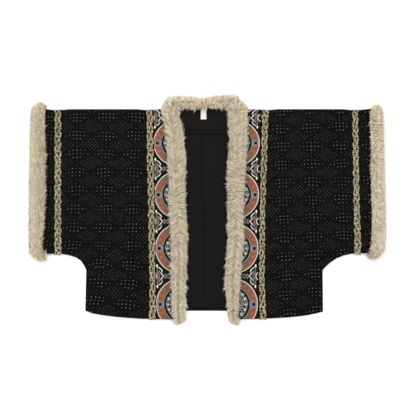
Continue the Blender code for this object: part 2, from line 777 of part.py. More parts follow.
def make_sleeve_braid(shell):
    """Takes the sleeve braid round the sleeve: plaited on the front and flat underneath."""
    front = shell.face_stations()
    back = shell.back_stations
    paths = [shell.edge_path(place, front) for place in SLEEVE_BRAID_COLUMNS]
    backs = [shell.edge_path(place, back) for place in SLEEVE_BRAID_COLUMNS]
    length = path_lengths(paths[0])[-1]
    sections = braid_run(paths[0], paths[1], 0.0, 1.0 - BRAID_FOOT_PLAIN / length)
    top_edge = [path[-1][0] for path in paths]
    low_edge = [path[0][0] for path in backs]
    middle_edge = [top.lerp(low, 0.5) for top, low in zip(top_edge, low_edge)]
    slope = math.sqrt(0.5)
    sections.append(plain_section(*top_edge, Vector((0, -slope, slope)), BRAID_SEAM_BULGE))
    sections.append(plain_section(*middle_edge, Vector((0, -1, 0)), BRAID_SEAM_BULGE))
    sections.append(plain_section(*low_edge, Vector((0, -slope, -slope)), BRAID_BACK))
    down = Vector((0, 0, -1))
    inward = Vector((0, BRAID_FOOT_INWARD, 0))
    sections.append(plain_section(low_edge[0] + inward, low_edge[1] + inward, down, BRAID_BACK))
    for left, right in list(zip(*backs))[1:]:
        sections.append(plain_section(left[0], right[0], down, BRAID_BACK))
    lower_turn = [(place, ("fold", FOLD_DEGREES[0])) for place in SLEEVE_BRAID_COLUMNS]
    left, right = [shell.outer[key] for key in lower_turn]
    sections.append(plain_section(left, right, shell.out[lower_turn[0]], BRAID_BACK))
    joined_sections("sleeve_braid_" + shell.half.name, sections, BRAID, ring=True)


def lock(run, share, seed):
    """Returns how far combed locks rise or sink, from -1 to 1, the same on each run."""
    lean = LOCK_LEAN * abs(share - 0.5)
    broad = math.sin(2 * math.pi * (run / LOCK_PITCH + lean) + seed)
    slow = math.sin(2 * math.pi * (run / SLOW_LOCK_PITCH - lean) + 2 * seed)
    return mix(slow, broad, BROAD_LOCK_SHARE)


def smooth_rows(rows, step):
    """Returns rows spaced about a step apart on a smooth curve through the given rows."""
    spots = [Vector(row) for row in rows]
    middles = [(Vector((row[0], row[1])) + Vector((row[2], row[3]))) / 2 for row in rows]
    found = [spots[0]]
    for place in range(len(spots) - 1):
        before = spots[max(place - 1, 0)]
        start = spots[place]
        end = spots[place + 1]
        after = spots[min(place + 2, len(spots) - 1)]
        length = max((middles[place + 1] - middles[place]).length, (end - start).length / 2)
        steps = max(1, round(length / step))
        for number in range(1, steps + 1):
            t = number / steps
            pull = (end - before) * 0.5
            push = (after - start) * 0.5
            found.append(
                start * (2 * t**3 - 3 * t**2 + 1)
                + end * (3 * t**2 - 2 * t**3)
                + pull * (t**3 - 2 * t**2 + t)
                + push * (t**3 - t**2)
            )
    return found


def fur_section(row, run, seed, height, underside):
    """Returns one section of a fur strip: a parted, tufted top over a stepped underside."""
    outer = Vector((row[0], row[1], 0))
    inner = Vector((row[2], row[3], 0))
    across = (inner - outer).normalized()
    outer = outer - across * LOCK_WIDTH * lock(run, 0.0, seed)
    inner = inner + across * LOCK_WIDTH * lock(run, 1.0, seed + 1)
    base = max(level for share, level in underside)
    section = []
    for point in FUR_PROFILE:
        spot = outer.lerp(inner, point.share)
        rise = height * point.height * (1 + LOCK_DEPTH * lock(run, point.share, seed))
        spot.z = base + rise
        section.append(spot)
    for share, level in reversed(underside):
        spot = outer.lerp(inner, share)
        spot.z = level
        section.append(spot)
    return section


def strip_runs(rows):
    """Returns the length run along the middle of a strip at each of its rows."""
    runs = [0.0]
    for first, second in zip(rows, rows[1:]):
        step = second - first
        runs.append(runs[-1] + Vector((step[0] + step[2], step[1] + step[3])).length / 2)
    return runs


def make_front_fur(shell, seed):
    """Lays a front's fur strip: its outer half on the ribbon, its inner half over the lining."""
    half = shell.half
    rows = smooth_rows(half.front_fur, FUR_STEP)
    runs = strip_runs(rows)
    middle = shell.edge_path(RIBBON_COLUMNS[1], shell.front_stations)
    hem_y = middle[-1][0].y
    sections = []
    for place, (row, run) in enumerate(zip(rows, runs)):
        y = (row[1] + row[3]) / 2
        outside = panel_height(middle, y) + GAP + THIN_WALL + GAP
        inside = WALL + GAP + THIN_WALL + GAP
        if y > BAND_LOW_Y - FUR_STEP:
            inside += THIN_WALL + GAP
        if row[1] > SHOULDER_Y - FUR_STEP:
            inside = outside
        if y < hem_y - HEM_CLEAR:
            outside = max(outside - (hem_y - y) * HEM_DROOP, GAP)
            inside = min(inside, outside)
        step = FRONT_EDGE_SHARE + EDGE_CLEAR_SHARE
        underside = ((0.0, outside), (step, outside), (step + STEP_SLOPE_SHARE, inside), (1.0, inside))
        height = FUR_HEIGHT * end_share(run, place < len(rows) / 2)
        sections.append(fur_section(row, run, seed, height, underside))
    trim_end(sections[-1], sections[-2])
    joined_sections("fur_front_" + half.name, sections, FUR)


def panel_height(path, y):
    """Returns the height of a column's outer points at a place y down the front."""
    if y >= path[0][0].y:
        return path[0][0].z
    for (first, _), (second, _) in zip(path, path[1:]):
        if second.y <= y:
            return mix(first.z, second.z, (first.y - y) / (first.y - second.y))
    return path[-1][0].z


def end_share(run, near_start):
    """Returns the share of its height that fur keeps near the free end of its strip."""
    if not near_start:
        return 1.0
    return mix(FREE_END_SHARE, 1.0, math.sqrt(min(run / FREE_END_LENGTH, 1.0)))


def trim_end(last, before):
    """Draws a strip's last section back by half a seam gap."""
    for place, spot in enumerate(last):
        last[place] = spot + (before[place] - spot).normalized() * GAP / 2


def make_neck_fur(seed):
    """Makes the neck's fur strip: its outer part on the surface, its inner part over the facing."""
    rows = smooth_rows(NECK_FUR, FUR_STEP)
    runs = strip_runs(rows)
    over_label = WALL + 3 * (GAP + THIN_WALL) + GAP
    sections = []
    for row, run in zip(rows, runs):
        edge = (row[1] - NECK_EDGE_Y) / (row[1] - row[3])
        step = edge - EDGE_CLEAR_SHARE
        underside = ((0.0, 0.0), (step - STEP_SLOPE_SHARE, 0.0), (step, over_label), (1.0, over_label))
        height = NECK_FUR_HEIGHT - over_label
        sections.append(fur_section(row, run, seed, height, underside))
    trim_end(sections[-1], sections[-2])
    trim_end(sections[0], sections[1])
    joined_sections("fur_neck", sections, FUR)


def cuff_section(base, out, inner, outer, reach, profile, run, seed):
    """Returns one section of a cuff's fur ring, on a point of the slit that the sleeve fills."""
    section = [Vector((outer, base.y, base.z)), Vector((inner, base.y, base.z))]
    for point in profile:
        x = mix(inner, outer, point.share)
        rise = reach * point.height
        if out.z > -CUFF_TUFT_TURN:
            rise *= 1 + LOCK_DEPTH * lock(run, point.share, seed)
            x += CUFF_LOCK_WIDTH * lock(run, point.share, seed + 2)
        section.append(Vector((x, base.y, base.z)) + out * rise)
    return section


def cuff_end(half, base_y, tip, turns, seed):
    """Returns the sections that carry a cuff's fur round the end of the slit, turn by turn."""
    middle_z = (CUFF_FUR_UNDER + CUFF_SLIT_TOP) / 2
    half_slit = (CUFF_SLIT_TOP - CUFF_FUR_UNDER) / 2
    squarest = math.sin(math.radians(CUFF_SQUARE_TURN))
    way = 1 if base_y > 0 else -1
    row_inner = read(half.cuff_fur, "y", "inner", base_y)
    row_outer = read(half.cuff_fur, "y", "outer", base_y)
    sections = []
    for degrees in turns:
        turn = math.radians(degrees)
        out = Vector((0, way * math.cos(turn), math.sin(turn)))
        rise = min(max(math.sin(turn) / squarest, -1.0), 1.0)
        base = Vector((0, base_y, middle_z + half_slit * rise))
        share = max(math.cos(turn * CUFF_TIP_SPREAD), 0.0) ** 2
        inner = mix(row_inner, tip.inner, share)
        outer = mix(row_outer, tip.outer, share)
        reach = mix(CUFF_FUR_HEIGHT, tip.reach, share)
        if degrees < 0:
            reach = min(reach, base.z / -math.sin(turn) / (1 + LOCK_DEPTH))
        run = base_y + way * degrees * CUFF_RUN_A_DEGREE
        sections.append(cuff_section(base, out, inner, outer, reach, CUFF_PROFILE, run, seed))
    return sections


def make_cuff_fur(shell, seed):
    """Makes the fur ring round a cuff: a full front, round ends and a pressed back."""
    half = shell.half
    foot_y = read(half.underarm, "x", "y", half.cuff_end) - GAP * 2
    top_y = SHOULDER_Y + GAP * 2
    up = Vector((0, 0, 1))
    steps = round((top_y - foot_y) / FUR_STEP)
    sections = []
    for step in range(1, steps):
        y = mix(top_y, foot_y, step / steps)
        inner = read(half.cuff_fur, "y", "inner", y)
        outer = read(half.cuff_fur, "y", "outer", y)
        base = Vector((0, y, CUFF_SLIT_TOP))
        sections.append(cuff_section(base, up, inner, outer, CUFF_FUR_HEIGHT, CUFF_PROFILE, y, seed))
    sections += cuff_end(half, foot_y, half.cuff_foot, CUFF_END_TURNS, seed)
    back_steps = round((top_y - foot_y) / CUFF_FUR_BACK_STEP)
    for step in range(1, back_steps):
        y = mix(foot_y, top_y, step / back_steps)
        inner = read(half.cuff_fur, "y", "inner", y)
        outer = read(half.cuff_fur, "y", "outer", y)
        base = Vector((0, y, CUFF_FUR_UNDER))
        sections.append(cuff_section(base, -up, inner, outer, CUFF_FUR_UNDER, CUFF_BACK_PROFILE, y, seed))
    sections += cuff_end(half, top_y, half.cuff_top, CUFF_END_TURNS[::-1], seed)
    joined_sections("fur_cuff_" + half.name, sections, FUR, ring=True)


def neck_corner(half):
    """Returns the two points where what lies on the back steps up from the shoulder to the neck edge."""
    edge_x = front_edge_x(half, SHOULDER_Y)
    step = half.sign * NECK_STEP
    return [(edge_x - step, LINING_SHOULDER_Y), (edge_x - 2 * step, LINING_NECK_Y)]


def make_lining(half):
    """Makes one half of the back lining, flat on the back, from side to centre back."""
    side_x = read(half.side_seam, "y", "x", 0.0) - half.sign * LINING_SIDE_IN
    seam_gap = half.sign * GAP / 2
    outline = [
        (side_x, LINING_HEM_Y),
        (side_x, LINING_SHOULDER_Y),
        *neck_corner(half),
        (centre_back_x(LINING_NECK_Y) + seam_gap, LINING_NECK_Y),
        (centre_back_x(LINING_HEM_Y) + seam_gap, LINING_HEM_Y),
    ]
    flat_wall("lining_" + half.name, outline, WALL + GAP, LINING)


def make_facings():
    """Makes the back-neck facing and the narrow band below it, both flat on the lining."""
    low = WALL + 2 * GAP + THIN_WALL
    facing = [
        (FACING_LEFT_X, FACING_LOW_Y),
        (FACING_RIGHT_X, FACING_LOW_Y),
        (FACING_RIGHT_X, LINING_SHOULDER_Y),
        *neck_corner(RIGHT),
        *reversed(neck_corner(LEFT)),
        (FACING_LEFT_X, LINING_SHOULDER_Y),
    ]
    flat_wall("neck_facing", facing, low, LINING)
    band_high = FACING_LOW_Y - GAP
    band = [
        (FACING_LEFT_X, BAND_LOW_Y),
        (FACING_RIGHT_X, BAND_LOW_Y),
        (FACING_RIGHT_X, band_high),
        (FACING_LEFT_X, band_high),
    ]
    flat_wall("facing_band", band, low, LINING)


def make_label():
    """Makes the blank label that hangs from the neck over the facing."""
    left = LABEL_MIDDLE_X - LABEL_WIDTH / 2
    right = LABEL_MIDDLE_X + LABEL_WIDTH / 2
    outline = [(left, LABEL_LOW_Y), (right, LABEL_LOW_Y), (right, LABEL_TOP_Y), (left, LABEL_TOP_Y)]
    flat_wall("label", outline, WALL + 3 * GAP + 2 * THIN_WALL, LABEL)


def main():
    """Builds the jacket, half by half, then the pieces that lie across both."""
    clear_scene()
    for seed, half in enumerate((LEFT, RIGHT)):
        shell = Shell(half)
        closed_wall("shell_" + half.name, shell.outer, shell.inner, shell.quads(), JACQUARD)
        make_lining(half)
        make_ribbon(shell)
        make_front_braid(shell)
        make_sleeve_braid(shell)
        make_front_fur(shell, 1.0 + seed)
        make_cuff_fur(shell, 3.0 + seed)
    make_neck_fur(5.0)
    make_facings()
    make_label()


main()
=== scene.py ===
"""Dress a short fur-trimmed hanfu jacket, laid flat on a pale floor.

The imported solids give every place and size. This script lays creased cloth,
woven patterns, plaited cords and combed fur over them. Lengths in the tables
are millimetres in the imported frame; the camera looks straight down.
"""

import logging
import math
from collections.abc import Sequence
from dataclasses import dataclass
from enum import Enum

import bmesh
import bpy
import numpy as np
from bpy.types import ID, Material, Mesh, NodeSocket, NodeTree, Object
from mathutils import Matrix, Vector
from mathutils.bvhtree import BVHTree


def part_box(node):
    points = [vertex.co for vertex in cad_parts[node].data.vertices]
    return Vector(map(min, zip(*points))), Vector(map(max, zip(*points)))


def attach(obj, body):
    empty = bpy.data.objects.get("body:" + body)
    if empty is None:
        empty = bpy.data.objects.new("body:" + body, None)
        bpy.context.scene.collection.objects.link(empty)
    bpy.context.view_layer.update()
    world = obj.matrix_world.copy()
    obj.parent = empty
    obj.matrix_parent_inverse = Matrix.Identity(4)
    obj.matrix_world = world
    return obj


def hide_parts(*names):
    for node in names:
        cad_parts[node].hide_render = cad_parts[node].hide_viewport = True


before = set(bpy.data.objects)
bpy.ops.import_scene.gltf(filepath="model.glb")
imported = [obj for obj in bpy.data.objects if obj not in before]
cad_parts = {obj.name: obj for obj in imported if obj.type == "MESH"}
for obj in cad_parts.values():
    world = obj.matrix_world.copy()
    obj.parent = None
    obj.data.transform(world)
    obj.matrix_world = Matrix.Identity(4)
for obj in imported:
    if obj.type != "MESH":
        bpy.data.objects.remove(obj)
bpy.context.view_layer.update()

MM = 0.001
SAME_PLACE = 0.000001
CAST_HEIGHT = 0.2
LOCK_NUMBERS = 4096
LOCK_STRIDES = (7919, 2503, 911)
FAN_LANES = 500
Row = Sequence[float]
Pair = tuple[float, float]
Triple = tuple[float, float, float]
Faces = list[tuple[int, ...]]
log = logging.getLogger("jacket")


def between(table: Sequence[Row], key: np.ndarray | float, column: int = 1) -> np.ndarray:
    """Read a column of a table at one key or many, straight between its rows."""
    rows = sorted(table)
    return np.interp(key, [row[0] for row in rows], [row[column] for row in rows])


def eased(value: np.ndarray | float, low: float, high: float) -> np.ndarray:
    """Rise softly from 0 at low to 1 at high, for one value or many."""
    share = np.clip((np.asarray(value, float) - low) / (high - low), 0.0, 1.0)
    return share * share * (3 - 2 * share)


def lying(pairs: np.ndarray) -> np.ndarray:
    """Give each row of x and y a height of 0."""
    return np.column_stack([pairs, np.zeros(len(pairs))])


def unit(vectors: np.ndarray) -> np.ndarray:
    """Scale each row to a length of 1."""
    return vectors / np.maximum(np.linalg.norm(vectors, axis=-1, keepdims=True), 1e-9)


def linear(red: int, green: int, blue: int) -> tuple[float, float, float, float]:
    """Turn a screen colour into the linear one that a shader takes.

    Args:
        red: red from 0 to 255.
        green: green from 0 to 255.
        blue: blue from 0 to 255.

    Returns:
        Linear red, green and blue, and 1.
    """
    parts = [value / 255 for value in (red, green, blue)]
    made = [p / 12.92 if p <= 0.04045 else ((p + 0.055) / 1.055) ** 2.4 for p in parts]
    return (made[0], made[1], made[2], 1.0)


# Shader work


class Wire:
    """A value on its way through a shader tree, with plain sums."""

    def __init__(self, tree: NodeTree, socket: NodeSocket) -> None:
        """Hold the tree and the output socket."""
        self.tree = tree
        self.socket = socket

    def feed(self, socket: NodeSocket) -> None:
        """Link this value to an input."""
        self.tree.links.new(self.socket, socket)

    def math(self, operation: str, *others: "Wire | float") -> "Wire":
        """Add a Math node.

        Args:
            operation: the node's operation.
            others: the values that follow this one.

        Returns:
            The node's value.
        """
        node = self.tree.nodes.new("ShaderNodeMath")
        node.operation = operation
        for socket, value in zip(node.inputs, (self, *others)):
            plug(socket, value)
        return Wire(self.tree, node.outputs[0])

    def __add__(self, other: "Wire | float") -> "Wire":
        """Add."""
        return self.math("ADD", other)

    def __sub__(self, other: "Wire | float") -> "Wire":
        """Take away."""
        return self.math("SUBTRACT", other)

    def __mul__(self, other: "Wire | float") -> "Wire":
        """Multiply."""
        return self.math("MULTIPLY", other)

    def __truediv__(self, other: "Wire | float") -> "Wire":
        """Divide."""
        return self.math("DIVIDE", other)

    def size(self) -> "Wire":
        """Drop the sign."""
        return self.math("ABSOLUTE")

    def nearest(self) -> "Wire":
        """Round to the nearest whole number."""
        return self.math("ROUND")

    def below(self, limit: "Wire | float", soft: float = 0.3) -> "Wire":
        """Mask what is under a limit, with an edge as wide as soft says."""
        rise = ((self - limit) / soft + 0.5).held()
        return rise.math("MULTIPLY_ADD", -1.0, 1.0)

    def inside(self, low: float, high: float, soft: float = 0.6) -> "Wire":
        """Mask what lies between two limits, with edges as wide as soft says."""
        return self.below(high, soft) - self.below(low, soft)

    def held(self) -> "Wire":
        """Hold the value between 0 and 1."""
        self.socket.node.use_clamp = True
        return self


def plug(socket: NodeSocket, value: "Wire | float | Sequence[float]") -> None:
    """Link a wire to an input, or set the input's own value.

    Args:
        socket: the input.
        value: a wire, a number or a colour.
    """
    if isinstance(value, Wire):
        value.feed(socket)
    else:
        socket.default_value = value


def length_of(first: Wire, second: Wire) -> Wire:
    """Distance from two right-angled steps."""
    return (first * first + second * second).math("SQRT")


def parts_of(vector: Wire) -> tuple[Wire, Wire, Wire]:
    """Split a vector into its three values.

    Args:
        vector: the vector.

    Returns:
        Its x, y and z.
    """
    node = vector.tree.nodes.new("ShaderNodeSeparateXYZ")
    vector.feed(node.inputs[0])
    x, y, z = (Wire(vector.tree, socket) for socket in node.outputs)
    return x, y, z


def joined(first: Wire, second: Wire, third: "Wire | float" = 0.0) -> Wire:
    """Join three values into a vector.

    Args:
        first: its x.
        second: its y.
        third: its z.

    Returns:
        The vector.
    """
    node = first.tree.nodes.new("ShaderNodeCombineXYZ")
    for socket, value in zip(node.inputs, (first, second, third)):
        plug(socket, value)
    return Wire(first.tree, node.outputs[0])


def painted(under: "Wire | Row", over: "Wire | Row", mask: Wire) -> Wire:
    """Lay one colour over another where a mask says.

    Args:
        under: the colour below.
        over: the colour above.
        mask: 1 where the upper colour shows.

    Returns:
        The colour that shows.
    """
    node = mask.tree.nodes.new("ShaderNodeMix")
    node.data_type = "RGBA"
    mask.feed(node.inputs[0])
    plug(node.inputs[6], under)
    plug(node.inputs[7], over)
    return Wire(mask.tree, node.outputs[2])


def speckle(vector: Wire) -> Wire:
    """Pick a fixed random value for each place.

    Args:
        vector: the place.

    Returns:
        A value from 0 to 1.
    """
    node = vector.tree.nodes.new("ShaderNodeTexWhiteNoise")
    node.noise_dimensions = "3D"
    vector.feed(node.inputs["Vector"])
    return Wire(vector.tree, node.outputs["Value"])


def cloudy(vector: Wire, scale: "Wire | float", detail: float = 2.0) -> Wire:
    """Make soft noise.

    Args:
        vector: the place.
        scale: how many clouds there are in a unit.
        detail: how much finer noise is added.

    Returns:
        Noise around 0.5.
    """
    node = vector.tree.nodes.new("ShaderNodeTexNoise")
    vector.feed(node.inputs["Vector"])
    plug(node.inputs["Scale"], scale)
    node.inputs["Detail"].default_value = detail
    return Wire(vector.tree, node.outputs["Fac"])


class Kind(Enum):
    """The kinds of socket that a group has."""

    NUMBER = "NodeSocketFloat"
    COLOUR = "NodeSocketColor"
    PLACE = "NodeSocketVector"


class Effect:
    """A shader node group with named inputs and outputs, built once."""

    def __init__(self, name: str) -> None:
        """Open an empty group.

        Args:
            name: the group's name.
        """
        self.tree = bpy.data.node_groups.new(name, "ShaderNodeTree")
        self.entry = self.tree.nodes.new("NodeGroupInput")
        self.exit = self.tree.nodes.new("NodeGroupOutput")

    def takes(self, name: str, kind: Kind, value: "float | Row | None" = None) -> Wire:
        """Add an input.

        Args:
            name: the input's name.
            kind: what it carries.
            value: what it holds when nothing is linked.

        Returns:
            The value inside the group.
        """
        socket = self.tree.interface.new_socket(name, in_out="INPUT", socket_type=kind.value)
        if value is not None:
            socket.default_value = value
        return Wire(self.tree, self.entry.outputs[name])

    def numbers(self, *inputs: tuple[str, float]) -> list[Wire]:
        """Add number inputs from their names and values."""
        return [self.takes(name, Kind.NUMBER, value) for name, value in inputs]

    def gives(self, name: str, value: Wire, kind: Kind = Kind.NUMBER) -> None:
        """Add an output that carries a value."""
        self.tree.interface.new_socket(name, in_out="OUTPUT", socket_type=kind.value)
        value.feed(self.exit.inputs[name])


class Bench:
    """A material under way: its tree, its shader and the places on the cloth."""

    def __init__(self, name: str) -> None:
        """Open a material with a plain shader.

        Args:
            name: the material's name.
        """
        self.material = bpy.data.materials.new(name)
        self.material.use_nodes = True
        self.tree = self.material.node_tree
        self.shader = self.tree.nodes["Principled BSDF"]

    def set(self, **values: "Wire | float | Row") -> None:
        """Set or feed the shader's own sockets, spaces written as _."""
        for name, value in values.items():
            plug(self.shader.inputs[name.replace("_", " ")], value)

    def place(self) -> Wire:
        """Find the place on the object.

        Returns:
            The place, in millimetres.
        """
        source = self.tree.nodes.new("ShaderNodeTexCoord")
        scaled = self.tree.nodes.new("ShaderNodeVectorMath")
        scaled.operation = "SCALE"
        scaled.inputs["Scale"].default_value = 1 / MM
        self.tree.links.new(source.outputs["Object"], scaled.inputs[0])
        return Wire(self.tree, scaled.outputs[0])

    def run(self) -> Wire:
        """Read the UV map of a cord or a hair.

        Returns:
            The place round and along a cord, or a hair's tone and the share of its length.
        """
        source = self.tree.nodes.new("ShaderNodeUVMap")
        source.uv_map = "run"
        return Wire(self.tree, source.outputs[0])

    def use(self, effect: Effect, **values: "Wire | float | Row") -> dict[str, Wire]:
        """Place a group with its own values.

        Args:
            effect: the group.
            values: its inputs by name, spaces written as _.

        Returns:
            The group's outputs by name.
        """
        node = self.tree.nodes.new("ShaderNodeGroup")
        node.node_tree = effect.tree
        for name, value in values.items():
            plug(node.inputs[name.replace("_", " ")], value)
        return {socket.name: Wire(self.tree, socket) for socket in node.outputs}

    def bump(self, height: Wire, strength: float, depth: float) -> None:
        """Feed a height in to the shader's normal.

        Args:
            height: the height, about 0 to 1.
            strength: how strongly it shows.
            depth: how deep 1 is, in millimetres.
        """
        node = self.tree.nodes.new("ShaderNodeBump")
        node.inputs["Strength"].default_value = strength
        node.inputs["Distance"].default_value = depth * MM
        height.feed(node.inputs["Height"])
        self.tree.links.new(node.outputs[0], self.shader.inputs["Normal"])


def weave_effect() -> Effect:
    """Build plain weave: threads over and under each other.

    Returns:
        The group, which gives the threads' height, and a tone that mixes painted shade
        between the threads with uneven yarn.
    """
    group = Effect("Weave")
    place = group.takes("Place", Kind.PLACE)
    pitch = group.takes("Thread Pitch", Kind.NUMBER, 0.9)
    x, y, z = parts_of(place)
    warp = (x / pitch * math.pi).math("SINE")
    weft = ((y + z) / pitch * math.pi).math("SINE")
    height = (warp * weft).math("MULTIPLY_ADD", 0.5, 0.5)
    slub = cloudy(joined(x * 0.12, y * 1.1, z), 1.0, 1.0)
    group.gives("Height", height)
    # Tone: painted shade where the threads dip, mixed with the yarn's own slubs.
    group.gives("Tone", height * 0.4 + slub * 0.6)
    return group


def drift_effect() -> Effect:
    """Build the slow uneven tone of cloth that has been handled.

    Returns:
        The group, which gives a value around 0.5.
    """
    group = Effect("Cloth Drift")
    place = group.takes("Place", Kind.PLACE)
    patch = group.takes("Patch Size", Kind.NUMBER, 60.0)
    contrast = group.takes("Contrast", Kind.NUMBER, 1.0)
    # On the cords these patches are painted glints.
    noise = cloudy(place, patch.math("POWER", -1.0), 3.0)
    group.gives("Drift", (noise - 0.5) * contrast + 0.5)
    return group


@dataclass(frozen=True)
class DotChart:
    """The charted jacquard repeat: big diamonds of dots, small rhombi between."""

    step: Pair = (9.0, 8.9)
    dot: float = 1.45
    squash: float = 1.2
    uneven: Pair = (0.9, 0.3)
    fine_uneven: Pair = (0.7, 0.35)
    half_rows: tuple[tuple[int, float], ...] = ((-2, 0.3), (-1, 2.0), (0, 3.5), (1, 2.5), (2, 0.3))
    fade: Pair = (0.8, 0.15)
    ring: float = 1.7
    fine_step: float = 8.8
    fine_dot: float = 0.9
    fine_ring: float = 1.25
    rhombus_half: Pair = (29.0, 15.5)
    bend: Pair = (5.0, 230.0)
    ripple: Pair = (6.0, 9.0)
    ripple_length: Pair = (60.0, 55.0)
    arch: Pair = (9.0, 0.12)

    def effect(self) -> Effect:
        """Build the group that marks the dots.

        Returns:
            The group, which gives the bright dots, the faint ones and the dark ground
            between them.
        """
        group = Effect("Dotted Diamonds")
        place = group.takes("Place", Kind.PLACE)
        width, height, origin_x, origin_y, lean, flare, flare_x, sag, tilt, sag_x = group.numbers(
            ("Column Pitch", 73.0), ("Row Pitch", 46.0), ("Origin X", 0.0), ("Origin Y", 0.0),
            ("Lean", 0.0), ("Flare", 0.0), ("Flare X", 0.0), ("Sag", 0.0), ("Tilt", 0.0), ("Sag X", 0.0))
        x, y, z = parts_of(place)
        low = ((y - self.bend[0]) * (-1.0 / self.bend[1])).math("MAXIMUM", 0.0)
        low = low * low
        across = (cloudy(joined(x, y, z + 40.0), 1 / self.ripple_length[0], 1.0) - 0.5) * self.ripple[0]
        down = (cloudy(place, 1 / self.ripple_length[1], 1.0) - 0.5) * self.ripple[1]
        straight_x = x - (x - flare_x) * low * flare + across
        straight_y = y - (x - sag_x) * (low * sag + tilt) + down
        column = (straight_x - origin_x - y * lean) / width
        row = (straight_y - origin_y) / height
        dots, near = self.diamond(column, row, width, height)
        faint, ground = self.rhombus(column + 0.5, row + 0.5, width, height)
        group.gives("Dots", dots)
        group.gives("Faint", faint)
        group.gives("Gaps", near.math("MAXIMUM", ground))
        return group

    def spot(self, dx: Wire, dy: Wire, radius: float) -> Wire:
        """Mask one dot, a little wider than it is high."""
        return length_of(dx, dy * self.squash).below(radius, 1.0)

    def diamond(self, column: Wire, row: Wire, width: Wire, height: Wire) -> tuple[Wire, Wire]:
        """Mark the dots of the big diamonds.

        Args:
            column: the place across, in repeats.
            row: the place up, in repeats.
            width: a repeat's width.
            height: a repeat's height.

        Returns:
            The mask, uneven from dot to dot, and the dark ground round the dots.
        """
        px = (column - column.nearest()) * width
        py = (row - row.nearest()) * height
        py = py + (px.size() - self.arch[0]).math("MAXIMUM", 0.0) * self.arch[1]
        i = (px / self.step[0]).nearest()
        j = (py / self.step[1]).nearest()
        half = i * 0.0
        for line, reach in self.half_rows:
            half = half + j.math("COMPARE", float(line), 0.4) * reach
        inset = half - i.size()
        shown = inset.math("GREATER_THAN", 0.0)
        full = (inset * self.fade[0] + self.fade[1]).held()
        luck = speckle(joined(column.nearest() * 9.0 + i, row.nearest() * 7.0 + j))
        dx, dy = px - i * self.step[0], py - j * self.step[1]
        luck = luck * self.uneven[0] + self.uneven[1]
        dots = self.spot(dx, dy, self.dot) * shown * full * luck
        return dots, shown * (self.spot(dx, dy, self.dot * self.ring) * -1.0 + 1.0)

    def rhombus(self, column: Wire, row: Wire, width: Wire, height: Wire) -> tuple[Wire, Wire]:
        """Mark the staggered dots of the small rhombi.

        Args:
            column: the place across, in repeats.
            row: the place up, in repeats.
            width: a repeat's width.
            height: a repeat's height.

        Returns:
            The mask, uneven from dot to dot, and the dark ground round the dots.
        """
        px = (column - column.nearest()) * width
        py = (row - row.nearest()) * height
        p = ((px + py) / self.fine_step).nearest()
        q = ((px - py) / self.fine_step).nearest()
        cx = (p + q) * (self.fine_step / 2)
        cy = (p - q) * (self.fine_step / 2)
        reach = cx.size() / self.rhombus_half[0] + cy.size() / self.rhombus_half[1]
        luck = speckle(joined(column.nearest() * 5.0 + p, row.nearest() * 3.0 + q))
        shown = reach.below(1.08, 0.05)
        luck = luck * self.fine_uneven[0] + self.fine_uneven[1]
        dots = self.spot(px - cx, py - cy, self.dot * self.fine_dot) * shown * luck
        return dots, shown * (self.spot(px - cx, py - cy, self.dot * self.fine_ring) * -1.0 + 1.0)


